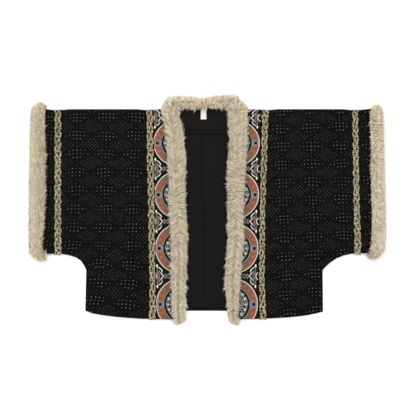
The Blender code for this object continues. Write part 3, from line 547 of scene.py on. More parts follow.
@dataclass(frozen=True)
class RoundelChart:
    """The ribbon's woven pattern: floret roundels with scroll flowers between."""

    rows: tuple[float, ...] = (164.8, 35.2, -98.2, -238.5)
    pitch: float = 134.0
    outer_line: Pair = (58.6, 60.7)
    band: Pair = (43.8, 58.0)
    floret_turn: float = 0.284
    big_florets: Triple = (51.0, 0.0, 4.8)
    low_florets: Triple = (46.0, 0.5, 1.8)
    high_florets: Triple = (55.6, 0.5, 2.0)
    floret_core: Pair = (-3.4, -2.3)
    fresh_reach: Pair = (41.0, 90.0)
    inner_line: Pair = (40.8, 42.7)
    panel: Pair = (43.0, 58.6)
    panel_half: float = 6.6
    square_middle: float = 50.6
    square_halves: Pair = (5.6, 3.6)
    petal_rings: tuple[Triple, ...] = (
        (31.4, 0.0, 3.3), (21.0, 0.5, 3.0), (13.0, 0.0, 2.2))
    petal_turn: float = 0.43
    lace_ring: Pair = (9.0, 36.0)
    eye_radii: Pair = (8.0, 2.4)
    fade: Triple = (0.16, 0.9, 0.45)
    grain: float = 0.3
    lace_grain: float = 0.27
    leaf_lines: tuple[Row, ...] = (
        (10.8, 20.8, 16.4, 17.2, 1.0), (16.4, 17.2, 19.2, 12.0, 1.1), (19.2, 12.0, 19.5, 9.4, 0.8),
        (15.2, 8.4, 21.4, 1.0, 1.0), (21.4, 1.0, 22.4, 0.0, 1.0))
    vein_lines: tuple[Row, ...] = (
        (6.2, 18.8, 8.8, 15.0, 0.8), (8.8, 15.0, 14.0, 10.0, 0.7), (5.8, 14.0, 8.0, 9.6, 0.6),
        (10.6, 8.6, 13.6, 1.6, 0.6), (8.4, 5.4, 11.6, 10.4, 0.4),
        (24.0, 0.6, 27.0, 5.4, 0.8), (27.0, 5.4, 31.0, 0.8, 0.8), (31.0, 0.8, 34.4, 4.8, 0.8),
        (34.4, 4.8, 38.4, 1.6, 0.8), (27.8, 0.0, 29.4, 0.0, 0.6))
    bud_lines: tuple[Row, ...] = ((4.4, 8.6, 6.8, 5.0, 0.7), (6.8, 5.0, 9.2, 0.8, 0.9))
    drop: Triple = (6.8, 24.6, 2.8)
    crest: Triple = (3.7, 9.4, 9.0)
    white: Row = linear(219, 217, 206)
    cream: Row = linear(194, 193, 183)
    silver: Row = linear(146, 146, 141)
    clay: Row = linear(112, 94, 78)
    beige: Row = linear(134, 128, 112)
    dun: Row = linear(92, 88, 72)
    orange: Row = linear(168, 55, 10)
    rust: Row = linear(138, 66, 42)
    sky: Row = linear(130, 138, 144)
    slate: Row = linear(96, 106, 118)
    grey: Row = linear(108, 108, 106)
    ground: Row = linear(10, 9, 9)

    def effect(self) -> Effect:
        """Build the group that paints the ribbon.

        Returns:
            The group, which gives the colour and how far the threads float.
        """
        group = Effect("Roundels")
        place = group.takes("Place", Kind.PLACE)
        centre, lean, side, reach = group.numbers(
            ("Centre X", 74.0), ("Lean", 0.0), ("Side", 1.0), ("Flower Reach", 61.0))
        x, y, _ = parts_of(place)
        across = (x - centre - y * lean) * side
        bow, slope, start = np.polyfit(self.rows, range(len(self.rows)), 2)
        turn = y * (y * float(bow) + float(slope)) + float(start)
        along = (turn - turn.nearest()) * self.pitch
        half = turn + 0.5
        gap = (half - half.nearest()) * self.pitch
        radius = length_of(across, along)
        angle = along.math("ARCTAN2", across)
        colour, raised = self.roundel(radius, angle, across, along)
        colour, raised = self.scrolls(colour, raised, reach - across, gap)
        group.gives("Colour", colour, Kind.COLOUR)
        group.gives("Raised", raised)
        return group

    def floret(
        self, radius: Wire, angle: Wire, middle: float, shift: float, size: float,
        turn: float = floret_turn,
    ) -> Wire:
        """Mask a ring of round florets.

        Args:
            radius: distance from the roundel's middle.
            angle: angle round it.
            middle: the ring's radius.
            shift: how far the florets are turned, in steps.
            size: a floret's radius.
            turn: the angle from one floret to the next.

        Returns:
            Distance from the nearest floret's middle, less its radius.
        """
        steps = angle / turn + shift
        around = (steps - steps.nearest()) * (turn * middle)
        return length_of(around, radius - middle) - size

    def roundel(self, radius: Wire, angle: Wire, across: Wire, along: Wire) -> tuple[Wire, Wire]:
        """Paint one roundel on the black ground.

        Args:
            radius: distance from its middle.
            angle: angle round it.
            across: distance out from its middle line.
            along: distance along the ribbon from its middle.

        Returns:
            The colour, and the mask of what floats.
        """
        band = radius.inside(*self.band)
        big, low, high = (
            self.floret(radius, angle, *ring)
            for ring in (self.big_florets, self.low_florets, self.high_florets))
        grain, contrast, least = self.fade
        fade = cloudy(joined(across, along), grain, 2.0) * contrast + least
        fresh = across.inside(*self.fresh_reach, 11.0)
        # patchy: the florets' own dye, worn in patches from orange to rust.
        patchy = painted(self.rust, self.orange, fresh * fade)
        core = painted(patchy, self.rust, big.inside(*self.floret_core) * 0.7)
        woven = painted(self.dun, painted(self.beige, self.clay, fade), fresh * 0.8 + 0.2)
        lines = painted(self.ground, woven, band)
        lines = painted(lines, core, band * big.below(0.0))
        lines = painted(lines, patchy, band * (low.below(0.0) + high.below(0.0)))
        lines = painted(lines, self.cream, radius.inside(*self.outer_line))
        worn_line = (cloudy(joined(across, along), self.grain, 1.0) * 2.0).held()
        lines = painted(lines, self.sky, radius.inside(*self.inner_line) * worn_line)
        lines, petals = self.heart(lines, radius, angle, across, along)
        panel = across.inside(*self.panel) * along.size().below(self.panel_half, 0.6)
        lines = painted(lines, self.beige, panel)
        square = (across - self.square_middle).size().math("MAXIMUM", along.size())
        lines = painted(lines, self.slate, square.below(self.square_halves[0], 1.0))
        lines = painted(lines, self.ground, square.below(self.square_halves[1], 0.5))
        raised = (radius.inside(self.inner_line[0], self.outer_line[1]) + petals).held()
        return lines, raised

    def heart(
        self, lines: Wire, radius: Wire, angle: Wire, across: Wire, along: Wire,
    ) -> tuple[Wire, Wire]:
        """Paint the flower inside a roundel.

        Args:
            lines: the colours so far.
            radius: distance from the middle.
            angle: angle round it.
            across: distance out from its middle line.
            along: distance along the ribbon from its middle.

        Returns:
            The colour, and the mask of the petals.
        """
        broken = (cloudy(joined(across, along), self.grain, 0.0) * 6.0 - 2.5).held()
        lace = (cloudy(joined(along, across), self.lace_grain, 0.0) * 12.0 - 5.7).held()
        lines = painted(lines, self.silver, lace * radius.inside(*self.lace_ring, 1.5) * 0.8)
        masks = [self.floret(radius, angle, *ring, self.petal_turn).below(0.0) for ring in self.petal_rings]
        lines = painted(lines, self.sky, masks[1] * broken * 0.8 + masks[2] * 0.7)
        lines = painted(lines, self.cream, masks[0] * (broken * 0.75 + 0.25))
        lines = painted(lines, self.orange, radius.below(self.eye_radii[0], 0.8))
        lines = painted(lines, self.cream, radius.below(self.eye_radii[1], 0.8))
        return lines, masks[0] + masks[1] * 0.5

    def scrolls(self, lines: Wire, raised: Wire, depth: Wire, gap: Wire) -> tuple[Wire, Wire]:
        """Paint the half flower at the ribbon's edge between two roundels.

        Args:
            lines: the colours so far.
            raised: the float mask so far.
            depth: distance in from the ribbon's edge.
            gap: distance along from the middle between the roundels.

        Returns:
            The colour, and the mask of what floats.
        """
        off = gap.size()
        broken = (cloudy(joined(depth, gap), self.grain, 0.0) * 5.5 - 2.1).held()
        pale, white, bud = (
            self.strokes(depth, off, rows) for rows in (self.vein_lines, self.leaf_lines, self.bud_lines))
        wedge = (off * 0.9 + depth).below(17.5, 1.5) * depth.inside(5.0, 13.0, 2.0) * 0.6
        drop_depth, drop_off, drop_size = self.drop
        drop = length_of((depth - drop_depth) * 1.5, (off - drop_off) * 0.72).below(drop_size, 0.7)
        crest_sunk, crest_radius, crest_half = self.crest
        crest = (length_of(depth + crest_sunk, off) - crest_radius).size().below(0.9, 0.7)
        crest = crest * off.below(crest_half, 1.0)
        lines = painted(lines, self.grey, wedge * broken)
        lines = painted(lines, self.silver, pale * (broken * 0.7 + 0.3))
        lines = painted(lines, self.rust, bud)
        lines = painted(lines, self.orange, bud * broken * 0.7)
        lines = painted(lines, self.white, white * (broken * 0.4 + 0.6) + crest * 0.8)
        lines = painted(lines, self.white, drop)
        return lines, (raised + white + pale * 0.7 + bud + drop).held()

    def strokes(self, depth: Wire, off: Wire, rows: Sequence[Row]) -> Wire:
        """Mask a set of straight strokes with round ends.

        Args:
            depth: distance in from the ribbon's edge.
            off: distance from the flower's middle line.
            rows: each stroke's two ends and half its width.

        Returns:
            The mask.
        """
        total = off * 0.0
        for x, y, end_x, end_y, half in rows:
            step_x, step_y = end_x - x, end_y - y
            long = step_x ** 2 + step_y ** 2
            share = ((depth - x) * (step_x / long) + (off - y) * (step_y / long)).held()
            gap = length_of(depth - share * step_x - x, off - share * step_y - y)
            total = total.math("MAXIMUM", gap.below(half, 0.5))
        return total


def twist_effect() -> Effect:
    """Build the slanting plies of a twisted cord.

    Returns:
        The group, which gives the plies' height, and a tone of painted shade in the
        grooves between plies and painted glints.
    """
    group = Effect("Cord Twist")
    run = group.takes("Run", Kind.PLACE)
    lay = group.takes("Lay", Kind.NUMBER, 2.6)
    around, along, _ = parts_of(run)
    ply = ((along / lay + around) * math.tau).math("SINE").math("MULTIPLY_ADD", 0.5, 0.5)
    # glint: painted glints, a random brightness for each short length of each cord.
    glint = speckle(joined(around.math("FLOOR"), (along / lay).math("FLOOR")))
    group.gives("Height", ply)
    # Tone: painted shade in the grooves between plies, and the painted glints.
    group.gives("Tone", ply * 0.25 + glint * 0.8)
    return group


def fibre_effect() -> Effect:
    """Build the colour of a hair from its root to its tip.

    Returns:
        The group, which gives the colour.
    """
    group = Effect("Fibre Tone")
    run = group.takes("Run", Kind.PLACE)
    root = group.takes("Root", Kind.COLOUR, (0.3, 0.2, 0.1, 1.0))
    tip = group.takes("Tip", Kind.COLOUR, (0.8, 0.7, 0.5, 1.0))
    shade = group.takes("Dark", Kind.COLOUR, (0.2, 0.1, 0.1, 1.0))
    patch = group.takes("Patch", Kind.NUMBER, 0.5)
    tone, along, _ = parts_of(run)
    # Darker at the root: the fur's own paler tips, with painted shade deep in the pile.
    colour = painted(root, tip, along.math("POWER", 0.8))
    # Towards the Dark colour by each hair's tone, which holds random lock tones and painted shade.
    mask = (tone * 0.8 + (patch - 0.5) * 0.5).held()
    group.gives("Colour", painted(colour, shade, mask), Kind.COLOUR)
    return group


@dataclass(frozen=True)
class Effects:
    """The shared effects, each built once."""

    weave: Effect
    drift: Effect
    dots: Effect
    roundels: Effect
    twist: Effect
    fibre: Effect

    @classmethod
    def built(cls) -> "Effects":
        """Build every effect."""
        return cls(weave_effect(), drift_effect(), DotChart().effect(),
                   RoundelChart().effect(), twist_effect(), fibre_effect())


@dataclass(frozen=True)
class Jacquard:
    """Black cloth with woven dots."""

    name: str
    origin: Pair
    pitch: Pair
    lean: float
    flare: Pair
    sag: Triple
    ground: Row = linear(13, 12, 12)
    dot: Row = linear(97, 89, 83)
    faint: Row = linear(68, 63, 60)

    def material(self, effects: Effects) -> Material:
        """Make the material.

        Args:
            effects: the shared effects.

        Returns:
            The material.
        """
        bench = Bench(self.name)
        place = bench.place()
        weave = bench.use(effects.weave, Place=place, Thread_Pitch=1.1)
        drift = bench.use(effects.drift, Place=place, Patch_Size=70.0, Contrast=1.2)["Drift"]
        dots = bench.use(
            effects.dots, Place=place, Column_Pitch=self.pitch[0], Row_Pitch=self.pitch[1],
            Origin_X=self.origin[0], Origin_Y=self.origin[1], Lean=self.lean,
            Flare=self.flare[0], Flare_X=self.flare[1],
            Sag=self.sag[0], Tilt=self.sag[1], Sag_X=self.sag[2])
        dark = tuple(part * 0.55 for part in self.ground[:3]) + (1.0,)
        # The weave's tone darkens the ground where the threads dip: painted shade.
        ground = painted(dark, self.ground, weave["Tone"] * 0.7 + drift * 0.5 - dots["Gaps"] * 0.7)
        colour = painted(painted(ground, self.faint, dots["Faint"]), self.dot, dots["Dots"])
        bench.set(Base_Color=colour, Roughness=drift * 0.16 + 0.66,
                  Specular_IOR_Level=0.04, Sheen_Weight=0.01, Sheen_Roughness=0.4)
        bench.bump(dots["Dots"] * 0.6 + weave["Height"] * 0.4, 0.5, 0.4)
        return bench.material


@dataclass(frozen=True)
class Lining:
    """Plain black lining, a shade warmer than the shell."""

    name: str = "lining cloth"
    ground: Row = linear(21, 21, 20)
    dark: Row = linear(13, 13, 13)
    thread: float = 0.7

    def material(self, effects: Effects) -> Material:
        """Make the material.

        Args:
            effects: the shared effects.

        Returns:
            The material.
        """
        bench = Bench(self.name)
        place = bench.place()
        weave = bench.use(effects.weave, Place=place, Thread_Pitch=self.thread)
        drift = bench.use(effects.drift, Place=place, Patch_Size=45.0, Contrast=1.5)["Drift"]
        # The weave's tone darkens the lining where the threads dip: painted shade.
        colour = painted(self.dark, self.ground, weave["Tone"] * 0.5 + drift * 0.7)
        bench.set(Base_Color=colour, Roughness=drift * 0.14 + 0.58,
                  Specular_IOR_Level=0.04, Sheen_Weight=0.01, Sheen_Roughness=0.35)
        bench.bump(weave["Height"], 0.3, 0.2)
        return bench.material


@dataclass(frozen=True)
class RibbonFinish:
    """The woven ribbon with its roundels."""

    name: str
    centres: tuple[float, ...]
    side: float
    flower_reach: float
    rib: float = 1.3

    def material(self, effects: Effects) -> Material:
        """Make the material.

        Args:
            effects: the shared effects.

        Returns:
            The material.
        """
        bench = Bench(self.name)
        place = bench.place()
        lean, centre = np.polyfit(RoundelChart.rows, self.centres, 1)
        chart = bench.use(
            effects.roundels, Place=place, Centre_X=float(centre), Lean=float(lean), Side=self.side,
            Flower_Reach=self.flower_reach)
        weave = bench.use(effects.weave, Place=place, Thread_Pitch=self.rib)
        shade = painted((0.0, 0.0, 0.0, 1.0), chart["Colour"], weave["Tone"] * 0.5 + 0.72)
        bench.set(Base_Color=shade, Roughness=weave["Tone"] * 0.2 + 0.5,
                  Specular_IOR_Level=0.08, Sheen_Weight=0.02, Sheen_Roughness=0.4)
        bench.bump(chart["Raised"] * 0.7 + weave["Height"] * 0.3, 0.6, 0.4)
        return bench.material


@dataclass(frozen=True)
class CordFinish:
    """A twisted cord of the braid."""

    name: str
    light: Row
    dark: Row
    metal: float
    gloss: float = 0.4
    lay: float = 2.8

    def material(self, effects: Effects) -> Material:
        """Make the material.

        Args:
            effects: the shared effects.

        Returns:
            The material.
        """
        bench = Bench(self.name)
        twist = bench.use(effects.twist, Run=bench.run(), Lay=self.lay)
        # patchy: painted glints in patches about 4 mm across, brighter and darker.
        patchy = bench.use(effects.drift, Place=bench.place(), Patch_Size=4.0, Contrast=3.0)["Drift"]
        # The tone runs from the dark colour, painted shade in the twist's grooves, to the light one with the
        # glints.
        tone = (twist["Tone"] * 1.1 + patchy * 1.3 - 0.75).held()
        bench.set(Base_Color=painted(self.dark, self.light, tone), Roughness=twist["Tone"] * 0.25 + 0.3,
                  Metallic=self.metal, Specular_IOR_Level=self.gloss)
        bench.bump(twist["Height"], 0.6, 0.25)
        return bench.material


@dataclass(frozen=True)
class FurFinish:
    """Beige fur, paler at the tips."""

    name: str = "fur pile"
    # The root and dark colours also paint the shade deep in the pile and between the locks.
    root: Row = linear(180, 155, 110)
    tip: Row = linear(255, 249, 228)
    dark: Row = linear(156, 133, 88)

    def material(self, effects: Effects) -> Material:
        """Make the material.

        Args:
            effects: the shared effects.

        Returns:
            The material.
        """
        bench = Bench(self.name)
        patch = bench.use(effects.drift, Place=bench.place(), Patch_Size=26.0, Contrast=1.4)["Drift"]
        fibre = bench.use(
            effects.fibre, Run=bench.run(), Root=self.root, Tip=self.tip, Dark=self.dark, Patch=patch)
        drift = bench.use(effects.drift, Place=bench.place(), Patch_Size=4.0, Contrast=1.0)["Drift"]
        bench.set(Base_Color=fibre["Colour"], Roughness=drift * 0.3 + 0.5,
                  Specular_IOR_Level=0.25, Sheen_Weight=0.15, Sheen_Roughness=0.5)
        return bench.material


@dataclass(frozen=True)
class LabelFinish:
    """White woven tape, left bare."""

    name: str = "label tape"
    light: Row = linear(226, 223, 214)
    dark: Row = linear(190, 186, 176)

    def material(self, effects: Effects) -> Material:
        """Make the material.

        Args:
            effects: the shared effects.

        Returns:
            The material.
        """
        bench = Bench(self.name)
        weave = bench.use(effects.weave, Place=bench.place(), Thread_Pitch=0.45)
        # The weave's tone darkens the tape where the threads dip: painted shade.
        bench.set(Base_Color=painted(self.dark, self.light, weave["Tone"] * 0.6 + 0.4),
                  Roughness=weave["Height"] * 0.2 + 0.5, Specular_IOR_Level=0.3)
        bench.bump(weave["Height"], 0.4, 0.15)
        return bench.material


@dataclass(frozen=True)
class FloorFinish:
    """The plain pale floor."""

    name: str = "floor"
    light: Row = (0.98, 0.98, 0.98, 1.0)
    dark: Row = (0.95, 0.95, 0.95, 1.0)

    def material(self, effects: Effects) -> Material:
        """Make the material.

        Args:
            effects: the shared effects.

        Returns:
            The material.
        """
        bench = Bench(self.name)
        drift = bench.use(effects.drift, Place=bench.place(), Patch_Size=300.0, Contrast=0.6)["Drift"]
        bench.set(Base_Color=painted(self.dark, self.light, drift), Roughness=0.9, Specular_IOR_Level=0.1)
        return bench.material


# Cloth


class Solid:
    """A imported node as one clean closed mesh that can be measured."""

    def __init__(self, name: str) -> None:
        """Read the node and join its split corners.

        Args:
            name: the node's name.
        """
        self.name = name
        self.mesh = bmesh.new()
        self.mesh.from_mesh(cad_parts[name].data)
        bmesh.ops.remove_doubles(self.mesh, verts=self.mesh.verts, dist=SAME_PLACE)
        self.tree = BVHTree.FromBMesh(self.mesh)

    def gridded(self, pitch: float) -> bmesh.types.BMesh:
        """Copy the node with a regular grid cut in to its faces.

        Args:
            pitch: the grid's pitch in millimetres.

        Returns:
            The new mesh, in metres.
        """
        low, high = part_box(self.name)
        cloth = self.mesh.copy()
        for axis in (0, 1):
            first = math.ceil(low[axis] / (pitch * MM))
            last = math.floor(high[axis] / (pitch * MM))
            for line in range(first, last + 1):
                place, normal = Vector(), Vector()
                place[axis], normal[axis] = line * pitch * MM, 1.0
                bmesh.ops.bisect_plane(
                    cloth, geom=cloth.verts[:] + cloth.edges[:] + cloth.faces[:],
                    dist=SAME_PLACE, plane_co=place, plane_no=normal)
        return cloth


def put(name: str, data: ID) -> Object:
    """Put an object in the scene.

    Args:
        name: its name.
        data: its mesh, light or camera.

    Returns:
        The object.
    """
    made = bpy.data.objects.new(name, data)
    bpy.context.scene.collection.objects.link(made)
    return made


def smooth_mesh(name: str, points: Sequence[Row], faces: Sequence[Sequence[int]]) -> Mesh:
    """Make a mesh with soft shading.

    Args:
        name: its name.
        points: its vertices, in metres.
        faces: its faces.

    Returns:
        The mesh.
    """
    mesh = bpy.data.meshes.new(name)
    mesh.from_pydata(points, [], faces)
    mesh.shade_smooth()
    return mesh


def finished(
    name: str, mesh: Mesh, materials: Sequence[Material],
    nodes: Sequence[str],
) -> Object:
    """Put a mesh in the scene as a piece of the jacket.

    Args:
        name: the piece's name.
        mesh: its mesh, in metres.
        materials: its materials in order.
        nodes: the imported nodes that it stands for.

    Returns:
        The piece.
    """
    for material in materials:
        mesh.materials.append(material)
    piece = put(name, mesh)
    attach(piece, "root")
    if nodes:
        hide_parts(*nodes)
    log.info("%s: %d faces", name, len(mesh.polygons))
    return piece


@dataclass(frozen=True)
class Crease:
    """One soft ridge or trough, from start to end."""

    start: Pair
    end: Pair
    height: float
    width: float
    bend: float = 0.0
    steep: float = 1.35
    gentle: float = 0.8
    trough: float = 0.32

    def lift(self, x: np.ndarray, y: np.ndarray) -> np.ndarray:
        """Work out how far the crease lifts each place.

        Args:
            x: places across, in millimetres.
            y: places up, in millimetres.

        Returns:
            The lift in millimetres, below 0 in a trough.
        """
        along = np.subtract(self.end, self.start)
        length = float(np.hypot(*along))
        along = along / length
        dx, dy = x - self.start[0], y - self.start[1]
        share = (dx * along[0] + dy * along[1]) / length
        off = dx * -along[1] + dy * along[0] - self.bend * np.sin(share * math.pi)
        off = np.where(off > 0, off * self.steep, off * self.gentle) / self.width
        ends = eased(share, -0.12, 0.35) * (1 - eased(share, 0.6, 1.12))
        return self.height * ends * (np.exp(-off * off) - self.trough * np.exp(-((off - 1.5) ** 2)))


def swell(x: np.ndarray, y: np.ndarray, seed: float) -> np.ndarray:
    """Give the slow unevenness of cloth that lies flat.

    Args:
        x: places across, in millimetres.
        y: places up, in millimetres.
        seed: shifts the pattern from piece to piece.

    Returns:
        Lifts around 0, at most about 1.
    """
    return (np.sin(x / 23 + np.sin(y / 41 + seed) * 1.6 + seed)
            * np.sin(y / 31 + np.sin(x / 37 - seed) * 1.3) * 0.6
            + np.sin((x + y) / 17 + seed * 2) * 0.2 + np.sin((x - y * 1.4) / 13) * 0.2)


@dataclass
class ClothPiece:
    """A cut piece of cloth: a thin creased shell on its solid's form."""

    name: str
    node: str
    flat: Pair
    area: float
    rests_on: tuple[str, ...]
    slot: str
    pitch: float = 8.0
    creases: tuple[Crease, ...] = ()
    smooth_above: float = 100.0
    free_above: float = 0.0
    calm_beyond: float = 1000.0
    swell: float = 0.0
    seed: float = 0.0
    seam: tuple[Pair, ...] = ((-254.0, -6.25), (257.0, -12.25))
    seam_gap: float = 0.4
    smooth_rounds: int = 8
    shoulder: Pair = (26.0, 10.0)
    sharp_angle: float = 40.0

    def cloth(self) -> Mesh:
        """Lay the cloth with its creases.

        Returns:
            The cloth's mesh, in metres.
        """
        cloth = Solid(self.node).gridded(self.pitch)
        bmesh.ops.triangulate(cloth, faces=cloth.faces[:])
        cloth.normal_update()
        loose = [
            v for v in cloth.verts
            if v.co.z > self.smooth_above * MM and abs(v.co.x) < self.calm_beyond * MM
            and all(abs(f.normal.z) > 0.9 for f in v.link_faces)]
        for _ in range(self.smooth_rounds):
            bmesh.ops.smooth_vert(cloth, verts=loose, factor=0.5, use_axis_z=True)
        mesh = bpy.data.meshes.new(self.name)
        cloth.to_mesh(mesh)
        cloth.free()
        places = np.zeros(len(mesh.vertices) * 3)
        mesh.vertices.foreach_get("co", places)
        places = places.reshape(-1, 3) / MM
        x, y, z = places.T
        lift = self.swell * swell(x, y, self.seed)
        for crease in self.creases:
            lift = lift + crease.lift(x, y)
        calm = 1 - eased(np.abs(x), self.calm_beyond - 30, self.calm_beyond)
        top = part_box(self.node)[1][1] / MM
        calm = calm * (1 - eased(y, top - self.shoulder[0], top - self.shoulder[1]))
        z += lift * calm * eased(z, self.free_above, self.free_above + 0.9)
        back = between(self.seam, y)
        x[:] = np.where(np.abs(x - back) < self.seam_gap, back, x)
        mesh.vertices.foreach_set("co", (places * MM).ravel())
        mesh.shade_smooth()
        mesh.set_sharp_from_angle(angle=math.radians(self.sharp_angle))
        return mesh

    def dress(self, material: Material) -> Object:
        """Put the cloth in the scene with its finish."""
        piece = finished(self.name, self.cloth(), [material], [self.node])
        return piece


@dataclass
class Shell:
    """The black jacquard shell, two halves with a seam down the back."""

    left_creases: tuple[Crease, ...] = (
        Crease((-292, -112), (-236, -18), 1.3, 13, 6),
        Crease((-318, 40), (-262, 205), 1.2, 15, -8),
        Crease((-214, -232), (-190, -70), 1.0, 16, 7),
        Crease((-336, -70), (-300, 60), -0.7, 11, 4),
        Crease((-240, 30), (-196, 190), -0.8, 14, 9),
        Crease((-182, -40), (-172, 130), 0.7, 10, -4),
        Crease((-274, -230), (-236, -128), -0.7, 12, 5),
        Crease((-340, 110), (-300, 226), 0.8, 11, 5))
    right_creases: tuple[Crease, ...] = (
        Crease((287.5, 226), (356, 168), 1.9, 9, 4),
        Crease((282, -118), (226, -30), 1.2, 13, -6),
        Crease((236, 40), (214, 210), 1.0, 15, 8),
        Crease((196, -236), (176, -96), 1.0, 15, -6),
        Crease((330, -60), (304, 70), -0.7, 11, -5),
        Crease((262, 60), (300, 190), -0.8, 12, 6),
        Crease((180, -30), (186, 120), 0.7, 10, 4),
        Crease((268, -226), (236, -140), -0.7, 12, -5))

    @property
    def laid(self) -> dict[str, float]:
        """Give what both halves share in how they lie."""
        return {"smooth_above": 3.0, "free_above": 3.0, "calm_beyond": 352.0, "swell": 0.28}

    def halves(self) -> tuple[ClothPiece, ClothPiece]:
        """Describe the two cut halves."""
        return (
            ClothPiece("shell_cloth_left", "shell_left", (0.447, 1.05), 0.364, ("lining_cloth_left",),
                       "jacquard", creases=self.left_creases, seed=0.4, **self.laid),
            ClothPiece("shell_cloth_right", "shell_right", (0.452, 1.05), 0.372, ("lining_cloth_right",),
                       "jacquard", creases=self.right_creases, seed=1.9, **self.laid))

    def build(self, effects: Effects) -> list[Object]:
        """Lay both halves.

        Args:
            effects: the shared effects.

        Returns:
            The two pieces.
        """
        finishes = (
            Jacquard("jacquard left", (-256.5, 0.0), (72.8, 45.84), 0.0256,
                     (0.1, -100.0), (-0.11, 0.0, -275.0)),
            Jacquard("jacquard right", (265.6, -21.4), (73.75, 45.2), -0.037,
                     (0.0, 0.0), (0.08, 0.03, 321.0)))
        return [half.dress(finish.material(effects)) for half, finish in zip(self.halves(), finishes)]


@dataclass
class Inside:
    """The lining, the facing at the back neck with its tape, and the label."""

    creases: tuple[Crease, ...] = (
        Crease((-44, 160), (-18, 70), 0.7, 9, 4),
        Crease((30, 150), (12, 40), 0.6, 10, -4),
        Crease((-40, 20), (-14, -90), 0.6, 10, -5),
        Crease((36, -40), (16, -150), 0.7, 9, 4),
        Crease((-36, -130), (-24, -220), 0.5, 8, 3))
    facing_creases: tuple[Crease, ...] = (
        Crease((4, 236), (54, 241), -1.5, 4.5, 1),
        Crease((-60, 232), (-22, 244), -1.2, 5, 2),
        Crease((-62, 214), (-30, 206), 1.0, 7, 3),
        Crease((10, 212), (48, 222), 0.9, 6, -3),
        Crease((-10, 200), (52, 205), -1.0, 3, 1))
    curl: float = 0.9
    label_flat: Pair = (0.014, 0.029)
    label_pitch: float = 1.6
    label_foot: float = 0.012
    label_bow: float = 0.25
    label_angle: float = 50.0

    def pieces(self) -> tuple[ClothPiece, ...]:
        """Describe the cut pieces."""
        return (
            ClothPiece("lining_cloth_left", "lining_left", (0.268, 0.502), 0.131, ("shell_cloth_left",),
                       "lining", 9.0, self.creases),
            ClothPiece("lining_cloth_right", "lining_right", (0.274, 0.502), 0.134, ("shell_cloth_right",),
                       "lining", 9.0, self.creases),
            ClothPiece("neck_facing_cloth", "neck_facing", (0.208, 0.0565), 0.0108,
                       ("lining_cloth_left", "lining_cloth_right"), "lining", 4.0, self.facing_creases),
            ClothPiece("facing_band_cloth", "facing_band", (0.208, 0.0102), 0.00212,
                       ("lining_cloth_left", "lining_cloth_right"), "lining", 5.0))

    def label(self, material: Material) -> Object:
        """Make the bare label, its free foot curled up a little.

        Args:
            material: the tape's finish.

        Returns:
            The piece.
        """
        tape = Solid("label").gridded(self.label_pitch)
        low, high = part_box("label")
        for vertex in tape.verts:
            foot = float(eased(-vertex.co.y, -low.y - self.label_foot, -low.y))
            wave = math.sin((vertex.co.x - low.x) / (high.x - low.x) * math.pi)
            vertex.co.z += (foot * self.curl + self.label_bow * wave * (1 - foot)) * MM
        mesh = bpy.data.meshes.new("label_tape")
        tape.to_mesh(mesh)
        tape.free()
        mesh.shade_smooth()
        mesh.set_sharp_from_angle(angle=math.radians(self.label_angle))
        piece = finished("label_tape", mesh, [material], ["label"])
        return piece

    def build(self, effects: Effects) -> list[Object]:
        """Lay the inside pieces.

        Args:
            effects: the shared effects.

        Returns:
            The pieces.
        """
        cloth = Lining().material(effects)
        facing = Lining("facing cloth", linear(24, 22, 21), linear(14, 13, 13), 0.9).material(effects)
        left, right, neck, band = self.pieces()
        return [left.dress(cloth), right.dress(cloth), neck.dress(facing), band.dress(facing),
                self.label(LabelFinish().material(effects))]


@dataclass
class Ribbons:
    """The roundel ribbon down each front."""

    centres_left: tuple[float, ...] = (-72.5, -71.6, -69.0, -66.1)
    centres_right: tuple[float, ...] = (71.2, 69.8, 66.8, 66.8)

    def build(self, effects: Effects) -> list[Object]:
        """Lay both ribbons.

        Args:
            effects: the shared effects.

        Returns:
            The two pieces.
        """
        left = ClothPiece("ribbon_cloth_left", "ribbon_left", (0.064, 0.53), 0.0285,
                          ("shell_cloth_left",), "ribbon", 6.0)
        right = ClothPiece("ribbon_cloth_right", "ribbon_right", (0.0715, 0.53), 0.032,
                           ("shell_cloth_right",), "ribbon", 6.0)
        return [
            left.dress(RibbonFinish("ribbon left", self.centres_left, -1.0, 63.4).material(effects)),
            right.dress(RibbonFinish("ribbon right", self.centres_right, 1.0, 61.0).material(effects))]


# Braids and stitches


@dataclass(frozen=True)
class Track:
    """The line that a braid follows over the cloth, in its own plane."""

    run: np.ndarray
    y: np.ndarray
    z: np.ndarray
    out_y: np.ndarray
    out_z: np.ndarray
    press: np.ndarray
    closed: bool

    @classmethod
    def through(cls, steps: Sequence[tuple[float, float, float, float]], closed: bool) -> "Track":
        """Make a track through points on the cloth.

        Args:
            steps: y, z, the way out of the cloth in degrees from +y, and the press.
            closed: whether the end meets the start.

        Returns:
            The track.
        """
        y, z, turn, press = np.array(steps, float).T
        run = np.concatenate(([0.0], np.cumsum(np.hypot(np.diff(y), np.diff(z)))))
        return cls(run, y, z, np.cos(np.radians(turn)), np.sin(np.radians(turn)), press, closed)

    def lay(self, run: np.ndarray, height: np.ndarray) -> tuple[np.ndarray, np.ndarray]:
        """Find places on or above the track.

        Args:
            run: distances along it.
            height: heights above the cloth.

        Returns:
            y and z in millimetres.
        """
        if self.closed:
            run = np.mod(run, self.run[-1])
        y, z, ny, nz, press = (
            np.interp(run, self.run, values)
            for values in (self.y, self.z, self.out_y, self.out_z, self.press))
        return y + ny * height * press, z + nz * height * press


